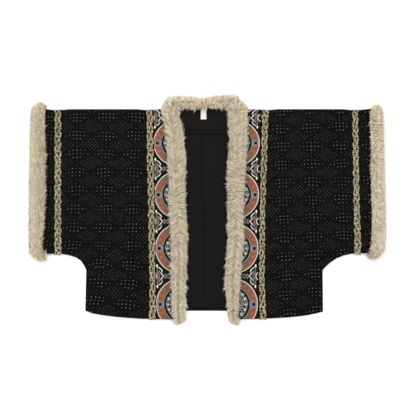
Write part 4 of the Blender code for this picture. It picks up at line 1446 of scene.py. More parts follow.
@dataclass
class Braid:
    """A flat braid whose strands are each a few thin cords side by side."""

    name: str
    node: str
    rows: tuple[Triple, ...]
    start: float
    period: float = 84.0
    strands: int = 3
    swing: float = 5.9
    wander: float = 0.35
    lift: float = 1.9
    dip: float = 0.8
    cord_radius: float = 0.62
    cord_flat: float = 1.45
    ply: float = 10.5
    ply_half: float = 1.9
    ply_lift: float = 0.45
    cord_colours: tuple[int, ...] = (0, 1, 0, 0)
    sides: int = 3
    ring_step: float = 1.5
    nominal_half: float = 9.4
    wander_waves: tuple[int, ...] = (9, 23, 37, 51)
    ply_waves: int = 13
    ply_drop: float = 0.06
    clear: float = 0.12
    end_taper: float = 0.3

    def tubes(self, track: Track) -> tuple[np.ndarray, Faces, list[int], np.ndarray]:
        """Make the cords.

        Args:
            track: the line on the cloth.

        Returns:
            Vertices in metres, faces, the colour of each face and the UVs of each corner.
        """
        total = float(track.run[-1])
        rings = round(total / self.ring_step)
        lobes = round(total / self.period) if track.closed else total / self.period
        run = np.arange(rings) * (total / rings) if track.closed else np.linspace(0, total, rings)
        points, faces, colours, corners = [], [], [], []
        for strand in range(self.strands):
            phase = run / total * lobes * math.tau + strand * math.tau / self.strands + self.start
            pace = lobes * math.tau / total
            across, slope = self.swing * np.sin(phase), self.swing * np.cos(phase) * pace
            for wave in self.wander_waves:
                across = across + self.wander * np.sin(run / total * math.tau * wave + strand * wave * 1.7)
            side = np.stack([-slope, np.ones_like(slope)]) / np.hypot(slope, 1.0)
            height = self.lift + self.dip * np.sin((self.strands - 1) * phase)
            for place, colour in enumerate(self.cord_colours):
                plies = round(total / self.ply)
                turn = run / total * plies * math.tau + place * math.tau / len(self.cord_colours) + strand
                turn = turn + 0.5 * np.sin(run / total * math.tau * self.ply_waves + strand * 2.0)
                off = self.ply_half * np.sin(turn)
                centre_run, centre_across = run + off * side[0], across + off * side[1]
                low = height + self.ply_lift * np.sin(turn * 2) - self.ply_drop * off * off
                ring = np.arange(self.sides) * math.tau / self.sides
                radius = np.full(rings, self.cord_radius)
                if not track.closed:
                    radius[[0, -1]] = self.cord_radius * self.end_taper
                r = radius[:, None]
                v_run = centre_run[:, None] + r * self.cord_flat * np.cos(ring) * side[0][:, None]
                v_across = centre_across[:, None] + r * self.cord_flat * np.cos(ring) * side[1][:, None]
                v_height = np.maximum(low[:, None] + r * np.sin(ring), self.clear)
                skin, skin_corners = self.skin(len(points), rings, float(run[1] - run[0]), track.closed)
                points.append(self.placed(track, v_run, v_across, v_height))
                faces += skin
                colours += [colour] * len(skin)
                corners += skin_corners
        return np.concatenate(points), faces, colours, np.concatenate(corners)

    def skin(
        self, number: int, rings: int, step: float, closed: bool,
    ) -> tuple[Faces, list[np.ndarray]]:
        """Cover the rings of one cord with faces.

        Args:
            number: the cord's number.
            rings: how many rings it has.
            step: the distance from ring to ring.
            closed: whether its end meets its start.

        Returns:
            The faces, and the UVs of each face's corners.
        """
        around = np.arange(self.sides)
        first = number * rings * self.sides
        faces, corners = [], []
        for ring in range(rings if closed else rings - 1):
            here, there = first + ring * self.sides, first + (ring + 1) % rings * self.sides
            for a in around:
                b = (a + 1) % self.sides
                faces.append((here + a, here + b, there + b, there + a))
                u0, u1, v0 = number + a / self.sides, number + (a + 1) / self.sides, ring * step
                corners.append(np.array([[u0, v0], [u1, v0], [u1, v0 + step], [u0, v0 + step]]))
        if not closed:
            last = first + (rings - 1) * self.sides
            for start, order in ((first, around[::-1]), (last, around)):
                faces.append(tuple(int(start + a) for a in order))
                corners.append(np.zeros((self.sides, 2)))
        return faces, corners

    def placed(self, track: Track, run: np.ndarray, across: np.ndarray, height: np.ndarray) -> np.ndarray:
        """Lay points of the braid on the cloth.

        Args:
            track: the line on the cloth.
            run: distances along.
            across: distances out from the middle, away from the jacket's middle.
            height: heights above the cloth.

        Returns:
            Points in metres.
        """
        y, z = track.lay(run, height)
        outer, inner = between(self.rows, y, 1), between(self.rows, y, 2)
        x = (outer + inner) / 2 + (outer - inner) / 2 / self.nominal_half * across
        return np.stack([x, y, z], axis=-1).reshape(-1, 3) * MM

    def dress(self, track: Track, materials: Sequence[Material]) -> Object:
        """Put the braid in the scene.

        Args:
            track: the line on the cloth.
            materials: the gold and the cream finish.

        Returns:
            The piece.
        """
        points, faces, colours, corners = self.tubes(track)
        mesh = smooth_mesh(self.name, points.tolist(), faces)
        mesh.polygons.foreach_set("material_index", colours)
        mesh.uv_layers.new(name="run").data.foreach_set("uv", corners.ravel())
        return finished(self.name, mesh, materials, [self.node])


@dataclass
class Trims:
    """The four plaited braids."""

    front_left: tuple[Triple, ...] = (
        (249.5, -152.8, -134), (107.5, -151, -130.8), (-22.5, -148, -129.2), (-180, -144.8, -127.2),
        (-280, -146, -126))
    front_right: tuple[Triple, ...] = (
        (249.5, 155.8, 136.2), (140, 151.2, 133.8), (-22.5, 146.2, 130), (-175, 145.5, 128),
        (-280, 149.5, 130))
    sleeve_left: tuple[Triple, ...] = ((249, -382.5, -362.5), (-112, -382.5, -362))
    sleeve_right: tuple[Triple, ...] = (
        (249, 378.8, 361.2), (22.5, 382.5, 363.8), (-77.5, 386.2, 366.2), (-112, 386.5, 366.5))
    front_fold: Triple = (244.5, 2.9, 2.9)
    sleeve_fold: Triple = (245.2, 4.3, 2.2)
    sleeve_foot: Triple = (-112.4, 3.65, 1.55)
    hem: float = -274.0
    foot: float = -277.5
    folded_press: float = 0.54
    step: float = 5.0
    front_start: float = 0.6
    sleeve_start: float = 2.1
    sleeve_period: float = 72.0

    @staticmethod
    def bend(fold: Row, turn: float, press: float) -> tuple[float, float, float, float]:
        """Give a step of a track round a fold.

        Args:
            fold: the fold's middle in y and z, and its radius.
            turn: the angle round it, in degrees from +y.
            press: how flat the braid lies there.

        Returns:
            y, z, the turn and the press.
        """
        centre_y, centre_z, radius = fold
        return (centre_y + radius * math.cos(math.radians(turn)),
                centre_z + radius * math.sin(math.radians(turn)), turn, press)

    def front_track(self, shell: BVHTree, x: float) -> Track:
        """Lead a front braid from the hem up to the shoulder ridge.

        Args:
            shell: the shell's surface.
            x: where the braid's middle is.

        Returns:
            The track.
        """
        steps = [(self.foot, height_on(shell, x, self.hem), 90.0, 0.9)]
        for y in np.arange(self.hem, self.front_fold[0] - 3, self.step):
            steps.append((float(y), height_on(shell, x, float(y)), 90.0, 1.0))
        for turn in np.linspace(90, 0, 10):
            press = 1.0 + (self.folded_press - 1.0) * (90 - turn) / 90
            steps.append(self.bend(self.front_fold, turn, press))
        return Track.through(steps, False)

    def sleeve_track(self, shell: BVHTree, x: float) -> Track:
        """Lead a sleeve braid right round the sleeve.

        Args:
            shell: the shell's surface.
            x: where the braid's middle is.

        Returns:
            The track.
        """
        steps = []
        foot_y = self.sleeve_foot[0]
        for y in np.arange(foot_y + 2, self.sleeve_fold[0] - 3, self.step):
            press = 1.0 - (1 - self.folded_press) * float(eased(-y, -foot_y - 14, -foot_y))
            steps.append((float(y), height_on(shell, x, float(y)), 90.0, press))
        for turn in np.linspace(90, -90, 17):
            press = self.folded_press + (1 - self.folded_press) * float(eased(turn, 40, 90))
            steps.append(self.bend(self.sleeve_fold, turn, press))
        for turn in np.linspace(-90, -270, 13):
            steps.append(self.bend(self.sleeve_foot, turn, self.folded_press))
        steps.append(steps[0])
        return Track.through(steps, True)

    def build(self, effects: Effects, shells: Sequence[Object]) -> list[Object]:
        """Lay the four braids.

        Args:
            effects: the shared effects.
            shells: the left and the right shell.

        Returns:
            The pieces.
        """
        materials = [
            # Each cord's dark colour is painted shade in its twist.
            CordFinish("gold cord", linear(202, 190, 134), linear(58, 50, 26), 0.2).material(effects),
            CordFinish("cream cord", linear(255, 246, 232), linear(120, 108, 80), 0.0).material(effects)]
        made = []
        for side, shell, front, sleeve in (
            ("left", shells[0], self.front_left, self.sleeve_left),
            ("right", shells[1], self.front_right, self.sleeve_right),
        ):
            surface = surface_of(shell)
            middle = [sum(row[1] + row[2] for row in rows) / 2 / len(rows) for rows in (front, sleeve)]
            braid = Braid(f"front_braid_cords_{side}", f"front_braid_{side}", front, self.front_start)
            made.append(braid.dress(self.front_track(surface, middle[0]), materials))
            braid = Braid(f"sleeve_braid_cords_{side}", f"sleeve_braid_{side}", sleeve,
                          self.sleeve_start, self.sleeve_period)
            made.append(braid.dress(self.sleeve_track(surface, middle[1]), materials))
        return made


@dataclass
class Sewing:
    """The stitches that show: the hem, the back seam, and both edges of the facing's tape."""

    hem: Triple = (-62.0, 60.0, -250.2)
    seam: tuple[Pair, ...] = ((-246.0, -6.4), (186.0, -10.6))
    tape: tuple[Triple, ...] = ((-68.0, 52.0, 197.3), (-68.0, 52.0, 186.6))
    hem_stitch: tuple[float, ...] = (5.6, 2.6, 1.2, 0.35)
    # The tape's rows are near black: a painted shade line along the tape's seams.
    seam_stitch: tuple[float, ...] = (5.4, 5.0, 0.9, 0.2)
    tape_stitch: tuple[float, ...] = (4.4, 4.2, 1.5, 0.04)
    taper: tuple[Pair, ...] = ((-0.5, 0.25), (-0.3, 1.0), (0.3, 1.0), (0.5, 0.25))
    hump: tuple[Pair, ...] = ((-0.5, 0.05), (-0.28, 0.42), (0.28, 0.42), (0.5, 0.05))
    clear: float = 0.08
    seed: int = 41

    def row(
        self, rng: np.random.Generator, start: Pair, end: Pair,
        surfaces: Sequence[BVHTree], pitch: float, length: float, width: float, missing: float,
    ) -> tuple[np.ndarray, Faces]:
        """Make one row of stitches.

        Args:
            rng: the seeded source of chance.
            start: where the row starts.
            end: where it ends.
            surfaces: the cloth that it lies on.
            pitch: from stitch to stitch.
            length: a stitch's length.
            width: a stitch's width.
            missing: the share of stitches that sink out of sight.

        Returns:
            Vertices in metres and faces.
        """
        reach = math.dist(start, end)
        along = np.subtract(end, start) / reach
        side = np.array([-along[1], along[0]])
        points, faces = [], []
        for number in range(int(reach / pitch)):
            skipped = rng.random() < missing
            middle = np.add(start, along * (number + 0.5) * pitch) + rng.normal(0, 0.12, 2)
            size = rng.uniform(0.75, 1.1)
            if skipped:
                continue
            first = len(points)
            for share, thick in self.taper:
                for off, up in self.hump:
                    x, y = middle + along * share * length * size + side * off * width * thick
                    low = max(height_on(surface, float(x), float(y)) for surface in surfaces)
                    points.append((x, y, low + self.clear + up * width * thick * 0.7))
            for ring in range(3):
                for a in range(4):
                    here, b = first + ring * 4, (a + 1) % 4
                    faces.append((here + a, here + 4 + a, here + 4 + b, here + b))
            faces.append(tuple(first + a for a in range(4)))
            faces.append(tuple(first + 12 + a for a in (3, 2, 1, 0)))
        return np.array(points) * MM, faces

    def piece(
        self, name: str, rows: Sequence[tuple[np.ndarray, Faces]],
        material: Material,
    ) -> Object:
        """Join rows of stitches in to one piece.

        Args:
            name: the piece's name.
            rows: vertices and faces of each row.
            material: the thread's finish.

        Returns:
            The piece.
        """
        points, faces = [], []
        for row_points, row_faces in rows:
            faces += [tuple(index + len(points) for index in face) for face in row_faces]
            points += row_points.tolist()
        return finished(name, smooth_mesh(name, points, faces), [material], [])

    def build(self, effects: Effects, cloths: Sequence[Object]) -> list[Object]:
        """Sew every row.

        Args:
            effects: the shared effects.
            cloths: the pieces that the stitches lie on.

        Returns:
            The pieces.
        """
        rng = np.random.default_rng(self.seed)
        surfaces = [surface_of(cloth) for cloth in cloths]
        low, high, y = self.hem
        hem = [self.row(rng, (low, y), (high, y), surfaces, *self.hem_stitch)]
        (foot, foot_x), (top, top_x) = self.seam
        seam = [self.row(rng, (foot_x, foot), (top_x, top), surfaces, *self.seam_stitch)]
        tape = [self.row(rng, (left, y), (right, y), surfaces, *self.tape_stitch)
                for left, right, y in self.tape]
        brown = CordFinish("hem thread", linear(92, 74, 66), linear(50, 38, 34), 0.0, 0.05).material(effects)
        dull = CordFinish("seam thread", linear(30, 26, 24), linear(18, 16, 15), 0.0, 0.03).material(effects)
        # Near-black stitches on the tape's edges: they draw a painted shade line along its seams.
        shade_line_thread = CordFinish("tape shade thread", linear(7, 7, 7), linear(3, 3, 3), 0.0, 0.02).material(effects)
        return [self.piece("hem_stitches", hem, brown), self.piece("back_seam_stitches", seam, dull),
                self.piece("tape_shade_stitches", tape, shade_line_thread)]


def surface_of(piece: Object) -> BVHTree:
    """Make a piece's mesh a surface to cast on.

    Args:
        piece: the piece.

    Returns:
        The surface.
    """
    mesh = bmesh.new()
    mesh.from_mesh(piece.data)
    tree = BVHTree.FromBMesh(mesh)
    mesh.free()
    return tree


def height_on(surface: BVHTree, x: float, y: float) -> float:
    """Find a surface's height at a place in millimetres, or 0 off the surface."""
    hit = surface.ray_cast(Vector((x * MM, y * MM, CAST_HEIGHT)), Vector((0, 0, -1)))[0]
    return hit.z / MM if hit else 0.0


# Fur


class Comb(Enum):
    """How the pile of a strip is combed."""

    PARTED = "outwards from a middle parting"
    SWEPT = "all one way"


@dataclass(frozen=True)
class Fan:
    """An end of a strip where the hair spreads out."""

    middle: Pair
    off: Pair
    reach: float
    across: Pair = (0.0, 0.0)
    cover: float = 9.0
    pulls: tuple[Triple, ...] = ()


@dataclass(frozen=True)
class Lie:
    """How hair lies at some places on a strip.

    The lanes run with the hair, side by side, and gone is the way along a lane.
    """

    way: np.ndarray
    level: np.ndarray
    along: np.ndarray
    room: np.ndarray
    lane: np.ndarray
    gone: np.ndarray
    side: np.ndarray
    extra: np.ndarray
    shift: np.ndarray


@dataclass
class FurStrip:
    """A strip of fur: a soft base with combed hair in locks."""

    name: str
    node: str
    seed: int
    hairs: int
    comb: Comb
    line: tuple[Pair, ...]
    tilts: tuple[Pair, ...]
    fans: tuple[Fan, ...]
    trim: tuple[Triple, ...] = ((0.0, 0.0, 0.0),)
    axis: int = 1
    length: float = 21.0
    lock_width: float = 4.8
    lock_length: float = 14.0
    lock_point: float = 7.5
    hair_radius: float = 0.42
    root_depth: float = 7.0
    crown: float = 4.2
    gather: float = 0.62
    overshoot: float = 11.0
    inset: float = 3.8
    under_share: float = 0.3
    ruffle: float = 5.0
    stray: float = 0.06
    base_depth: float = 7.0
    slit: Pair = (5.5, 9.9)
    paler: float = 0.0
    # Painted shade: the tone darkens steadily towards one side of the strip.
    shade_slope: Pair = (0.0, 0.0)
    parting_shift: float = 0.37
    wall_pull: float = 0.4
    droop: float = -0.5
    shortest: float = 9.0
    sink: tuple[Pair, ...] = ((0.0, 1.0), (0.36, 0.42), (0.72, 0.12), (1.0, 0.0))
    thickness: tuple[float, ...] = (1.0, 1.0, 0.72)
    floor_gap: float = 0.6
    slide_range: Pair = (0.45, 0.95)
    length_range: Pair = (0.85, 1.15)
    gather_range: Pair = (0.7, 1.1)
    # Tone weights: each lock, each hair, painted shade at the locks' edges, and an offset.
    tone_parts: tuple[float, ...] = (0.55, 0.25, 1.6, 0.46)
    lane_waves: tuple[Pair, ...] = ((0.22, 1.9), (0.3, 0.7))

    def lie(self, points: np.ndarray, normals: np.ndarray, luck: np.ndarray | float) -> Lie:
        """Work out which way the hair lies.

        Args:
            points: places on the fur, in millimetres.
            normals: the ways out of the fur there.
            luck: random turns around 0.

        Returns:
            How the hair lies at the places.
        """
        place = points[:, :2]
        line = np.array(self.line)
        best = np.full(len(place), np.inf)
        along, across = np.zeros_like(place), np.zeros_like(place)
        share, run, side = np.zeros(len(place)), np.zeros(len(place)), np.zeros(len(place))
        gone = 0.0
        for index, (a, b) in enumerate(zip(line[:-1], line[1:])):
            step = b - a
            reach = float(np.linalg.norm(step))
            part = np.clip(((place - a) @ step) / reach ** 2, 0, 1)
            gap = np.linalg.norm(place - a - part[:, None] * step, axis=1)
            closer = gap < best
            best = np.where(closer, gap, best)
            left = np.array([-step[1], step[0]]) / reach
            hand = np.where((place - a) @ left >= 0, 1.0, -1.0)
            along[closer] = step / reach
            across[closer] = (hand[:, None] * left)[closer]
            share = np.where(closer, (index + part) / (len(line) - 1), share)
            run = np.where(closer, gone + (place - a) @ step / reach, run)
            side = np.where(closer, hand, side)
            gone += reach
        still = np.radians(between(self.tilts, share))
        turn = still + np.radians(luck * self.ruffle)
        if self.comb is Comb.PARTED:
            flow = across * np.cos(turn)[:, None] + along * np.sin(turn)[:, None]
            start = run - best * np.tan(still)
            went = best / np.cos(still)
            room = best + 5.0
        else:
            flow = np.stack([np.cos(turn), np.sin(turn)], axis=1) + normals[:, :2] * self.wall_pull
            out = -side * best
            start = run - out * np.tan(still)
            went = (out * np.sign(np.cos(still)) + 25.0) / np.abs(np.cos(still))
            room = np.full(len(place), 100.0)
        shares, runs = np.linspace(0, 1, len(line)), np.linspace(-60, gone + 60, 400)
        lengths = np.concatenate(([0.0], np.cumsum(np.linalg.norm(np.diff(line, axis=0), axis=1))))
        slant = np.radians(between(self.tilts, np.interp(runs, lengths, shares)))
        lanes = np.cumsum(np.abs(np.cos(slant))) * (runs[1] - runs[0])
        lane = np.interp(start, runs, lanes) / self.lock_width
        grown = np.where(side > 0, between(self.trim, points[:, self.axis], 1),
                         between(self.trim, points[:, self.axis], 2))
        shift = across * (grown * eased(best, 3.0, 15.0))[:, None]
        if self.comb is Comb.PARTED:
            lane = lane + self.parting_shift * side
        else:
            side = np.ones(len(place))
        extra = np.zeros(len(place))
        for number, fan in enumerate(self.fans):
            away = place - np.array(fan.middle)
            weight = eased(away @ np.array(fan.off), -fan.reach * 0.3, fan.reach)
            flow = flow * (1 - weight[:, None]) + unit(away) * weight[:, None]
            extra = extra + fan.cover * weight * np.clip(unit(flow) @ np.array(fan.across), 0, 1)
            shift = shift * (1 - weight[:, None])
            rim = weight * eased(np.linalg.norm(away, axis=1), 3.0, 15.0)
            for x, y, amount in fan.pulls:
                toward = np.clip(unit(away) @ np.array((x, y)), 0, 1) ** 3
                shift = shift + unit(away) * (amount * rim * toward)[:, None]
            spread = np.arctan2(away[:, 1], away[:, 0]) * fan.reach * 0.9 / self.lock_width
            lane = np.where(weight > 0.5, spread + FAN_LANES * (number + 1), lane)
            went = np.where(weight > 0.5, np.linalg.norm(away, axis=1), went)
        level = lying(unit(flow))
        way = level + np.array([0.0, 0.0, self.droop])
        way = way - normals * np.sum(way * normals, axis=1, keepdims=True)
        return Lie(unit(way), level, lying(along), room, lane, went, side, extra, lying(shift))

    def scattered(self, rng: np.random.Generator, count: int, solid: Solid) -> tuple[np.ndarray, np.ndarray]:
        """Scatter places over the fur's surface, fewer underneath.

        Args:
            rng: the seeded source of chance.
            count: how many places.
            solid: the fur's solid.

        Returns:
            The places in millimetres and the ways out there.
        """
        faces = solid.mesh.faces[:]
        corners = np.array([[v.co for v in f.verts[:3]] for f in faces]) / MM
        normals = np.array([f.normal for f in faces])
        area = np.linalg.norm(np.cross(corners[:, 1] - corners[:, 0], corners[:, 2] - corners[:, 0]), axis=1)
        area = area * np.where(normals[:, 2] < -0.35, self.under_share, 1.0)
        area = area * np.where(self.hidden(corners.mean(axis=1), normals), 0.0, 1.0)
        pick = rng.choice(len(faces), count, p=area / area.sum())
        a, b = rng.random((2, count))
        flip = a + b > 1
        a, b = np.where(flip, 1 - a, a), np.where(flip, 1 - b, b)
        base = corners[pick]
        places = base[:, 0] + a[:, None] * (base[:, 1] - base[:, 0]) + b[:, None] * (base[:, 2] - base[:, 0])
        return places, normals[pick]

    def hidden(self, middles: np.ndarray, normals: np.ndarray) -> np.ndarray:
        """Tell which faces lie inside the slit that the sleeve end fills.

        Args:
            middles: the faces' middles in millimetres.
            normals: the faces' ways out.

        Returns:
            True for a face of the slit.
        """
        low, high = self.slit
        slit = (middles[:, 2] > low) & (middles[:, 2] < high)
        facing = np.abs(normals[:, 2]) if "cuff" in self.node else -normals[:, 2]
        return slit & (facing > 0.9)

    def hair(self, solid: Solid) -> tuple[np.ndarray, np.ndarray]:
        """Comb the hair in locks.

        Args:
            solid: the fur's solid.

        Returns:
            Four points of each hair in millimetres, and its tone from 0 to 1.
        """
        rng = np.random.default_rng(self.seed)
        solid.mesh.faces.ensure_lookup_table()
        tips, normals = self.scattered(rng, self.hairs, solid)
        own, offset, left = self.locks(rng, self.lie(tips, normals, 0.0))
        tall, drop, turn, shade = rng.random((4, LOCK_NUMBERS))[:, own]
        lie = self.lie(tips, normals, turn * 2 - 1 + rng.normal(0, 0.35, self.hairs))
        strays = rng.random(self.hairs) < self.stray
        way = unit(lie.way + rng.normal(0, 0.03, lie.way.shape)
                   + strays[:, None] * rng.normal(0, 0.35, lie.way.shape))
        edge = eased(1 - np.abs(normals[:, 2]), 0.3, 0.8)
        slide = left * rng.uniform(*self.slide_range, self.hairs) * (1 - edge)
        grown = self.length * rng.uniform(*self.length_range, self.hairs)
        length = np.maximum(np.minimum(grown, lie.room * 1.2 + slide), self.shortest)
        ends = tips + way * slide[:, None]
        roots = ends - way * length[:, None]
        gather = np.where(strays, 0.0, self.gather * rng.uniform(*self.gather_range, self.hairs))
        ends = ends - lie.along * (offset * gather * self.lock_width / 2)[:, None]
        _, wall = on_surface(solid, ends)
        rim = eased(1 - np.abs(wall[:, 2]), 0.2, 0.7)
        tuft = unit(wall * (1.0, 1.0, 0.0) + 1e-6) + lie.level * 0.6
        past = self.overshoot * (0.2 + 0.8 * tall) * (1 - np.abs(offset)) ** 1.2 - self.inset
        past = past * rim + strays * rng.uniform(1.0, 4.0, self.hairs) + rng.uniform(0, 0.8, self.hairs)
        push = unit(tuft) * past[:, None]
        push = push + lie.level * (lie.extra * eased(1 - np.abs(normals[:, 2]), 0.05, 0.8))[:, None]
        path = []
        for share, depth in self.sink:
            near, out = on_surface(solid, roots * (1 - share) + ends * share)
            sunk = self.root_depth * depth + drop * 1.6 + self.crown * offset * offset * (1 - share * 0.4)
            sunk = np.where(strays, self.root_depth * depth - 1.6 * share, sunk)
            path.append(near - out * sunk[:, None] + push * share ** 1.7 + self.lie(near, out, 0.0).shift)
        path = np.stack(path, axis=1)
        path[:, :, 2] = np.maximum(path[:, :, 2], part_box(self.node)[0][2] / MM + self.floor_gap)
        by_lock, by_hair, gap_shade, paler = self.tone_parts
        tone = shade * by_lock + rng.random(self.hairs) * by_hair
        # The locks' edges darken: painted shade in the gaps between locks.
        tone = tone + np.abs(offset) ** 2.5 * gap_shade - paler - self.paler
        # Painted shade: darker towards the cuffs' inner edges and the neck's lower edge.
        tone = tone + np.clip((tips[:, :2] - np.mean(self.line, axis=0)) @ np.array(self.shade_slope), -0.4, 0.4)
        return path, np.clip(tone, 0, 1)

    def locks(self, rng: np.random.Generator, lie: Lie) -> tuple[np.ndarray, np.ndarray, np.ndarray]:
        """Sort the hair in to pointed locks that overlap like shingles.

        Args:
            rng: the seeded source of chance.
            lie: how the hair lies.

        Returns:
            Each hair's lock number, its place across the lock from -1 to 1, and how far
            it is from the lock's point.
        """
        late = rng.random(LOCK_NUMBERS)
        lane = lie.lane
        for size, pace in self.lane_waves:
            lane = lane + size * np.sin(lie.lane * pace)
        spare = self.lock_length * 0.6 + self.lock_point
        own, offset, left = np.full(len(lane), -1), np.zeros(len(lane)), np.zeros(len(lane))
        first = np.floor((lie.gone - spare) / self.lock_length).astype(int)
        for later in range(math.ceil(spare / self.lock_length) + 2):
            row = first + later
            cell = np.floor(lane)
            steps = (cell.astype(int), row, np.where(lie.side > 0, 1, 0))
            number = sum(step * stride for step, stride in zip(steps, LOCK_STRIDES)) % LOCK_NUMBERS
            across = 2 * (lane - cell) - 1
            point = self.lock_point * (1 - np.abs(across) ** 1.3)
            end = self.lock_length * (row + 0.6 * late[number]) + point
            found = (own < 0) & (end >= lie.gone)
            own = np.where(found, number, own)
            offset, left = np.where(found, across, offset), np.where(found, end - lie.gone, left)
        return own, offset, left

    def tubes(self, path: np.ndarray, tone: np.ndarray) -> tuple[np.ndarray, list[list[int]], np.ndarray]:
        """Give the hairs their thickness.

        Args:
            path: four points of each hair in millimetres.
            tone: each hair's tone.

        Returns:
            Vertices in millimetres, faces, and the UV of each vertex.
        """
        count = len(path)
        rings = []
        for index, thick in enumerate(self.thickness):
            ahead = unit(path[:, index + 1] - path[:, max(index - 1, 0)])
            first = unit(np.cross(ahead, np.array([0.12, 0.2, 1.0])))
            second = np.cross(ahead, first)
            for turn in (0.0, math.tau / 3, math.tau * 2 / 3):
                rings.append(path[:, index] + (first * math.cos(turn) + second * math.sin(turn))
                             * self.hair_radius * thick)
        points = np.concatenate([np.stack(rings, axis=1), path[:, 3:]], axis=1)
        pattern = [[r * 3 + a, r * 3 + (a + 1) % 3, r * 3 + 3 + (a + 1) % 3, r * 3 + 3 + a]
                   for r in range(2) for a in range(3)]
        closing = [[6 + a, 6 + (a + 1) % 3, 9] for a in range(3)]
        starts = np.arange(count)[:, None, None] * 10
        quads = (starts + np.array(pattern)).reshape(-1, 4).tolist()
        peaks = (starts + np.array(closing)).reshape(-1, 3).tolist()
        along = np.repeat([0.0, 0.38, 0.74, 1.0], [3, 3, 3, 1])
        uv = np.stack([np.repeat(tone, 10), np.tile(along, count)], axis=1)
        return points.reshape(-1, 3), quads + peaks, uv

    def base(self, solid: Solid) -> tuple[np.ndarray, list[list[int]]]:
        """Make the base inside the hair, drawn in from the solid.

        Args:
            solid: the fur's solid.

        Returns:
            Vertices in millimetres and faces.
        """
        solid.mesh.normal_update()
        places = []
        for vertex in solid.mesh.verts:
            inward = -vertex.normal
            hit = solid.tree.ray_cast(vertex.co + inward * 0.0004, inward)[3]
            room = (hit or 0.02) / MM
            depth = min(self.base_depth, room * 0.35) * (1.0 if vertex.normal.z > -0.3 else 0.15)
            places.append((vertex.co + inward * depth * MM) / MM)
        base = np.array(places)
        faces = [[v.index for v in f.verts] for f in solid.mesh.faces]
        return base + self.lie(base, np.zeros_like(base), 0.0).shift, faces

    def build(self, material: Material) -> Object:
        """Put the strip in the scene.

        Args:
            material: the fur's finish.

        Returns:
            The piece.
        """
        solid = Solid(self.node)
        solid.mesh.verts.index_update()
        base, base_faces = self.base(solid)
        hair, hair_faces, uv = self.tubes(*self.hair(solid))
        shifted = [[index + len(base) for index in face] for face in hair_faces]
        # The base takes a colour near the root's: painted shade under the hair.
        uv = np.concatenate([np.tile([0.5, 0.15], (len(base), 1)), uv])
        points = np.concatenate([base, hair]) * MM
        mesh = smooth_mesh(self.name, points.tolist(), base_faces + shifted)
        corners = np.zeros(len(mesh.loops), np.int32)
        mesh.loops.foreach_get("vertex_index", corners)
        mesh.uv_layers.new(name="run").data.foreach_set("uv", uv[corners].ravel())
        return finished(self.name, mesh, [material], [self.node])


def on_surface(solid: Solid, places: np.ndarray) -> tuple[np.ndarray, np.ndarray]:
    """Drop places on to a solid's surface.

    Args:
        solid: the solid.
        places: places in millimetres.

    Returns:
        The nearest places on the surface, and the ways out there.
    """
    near, out = np.zeros_like(places), np.zeros_like(places)
    for index, place in enumerate(places * MM):
        hit, normal, _, _ = solid.tree.find_nearest(place)
        near[index], out[index] = hit, normal
    return near / MM, out


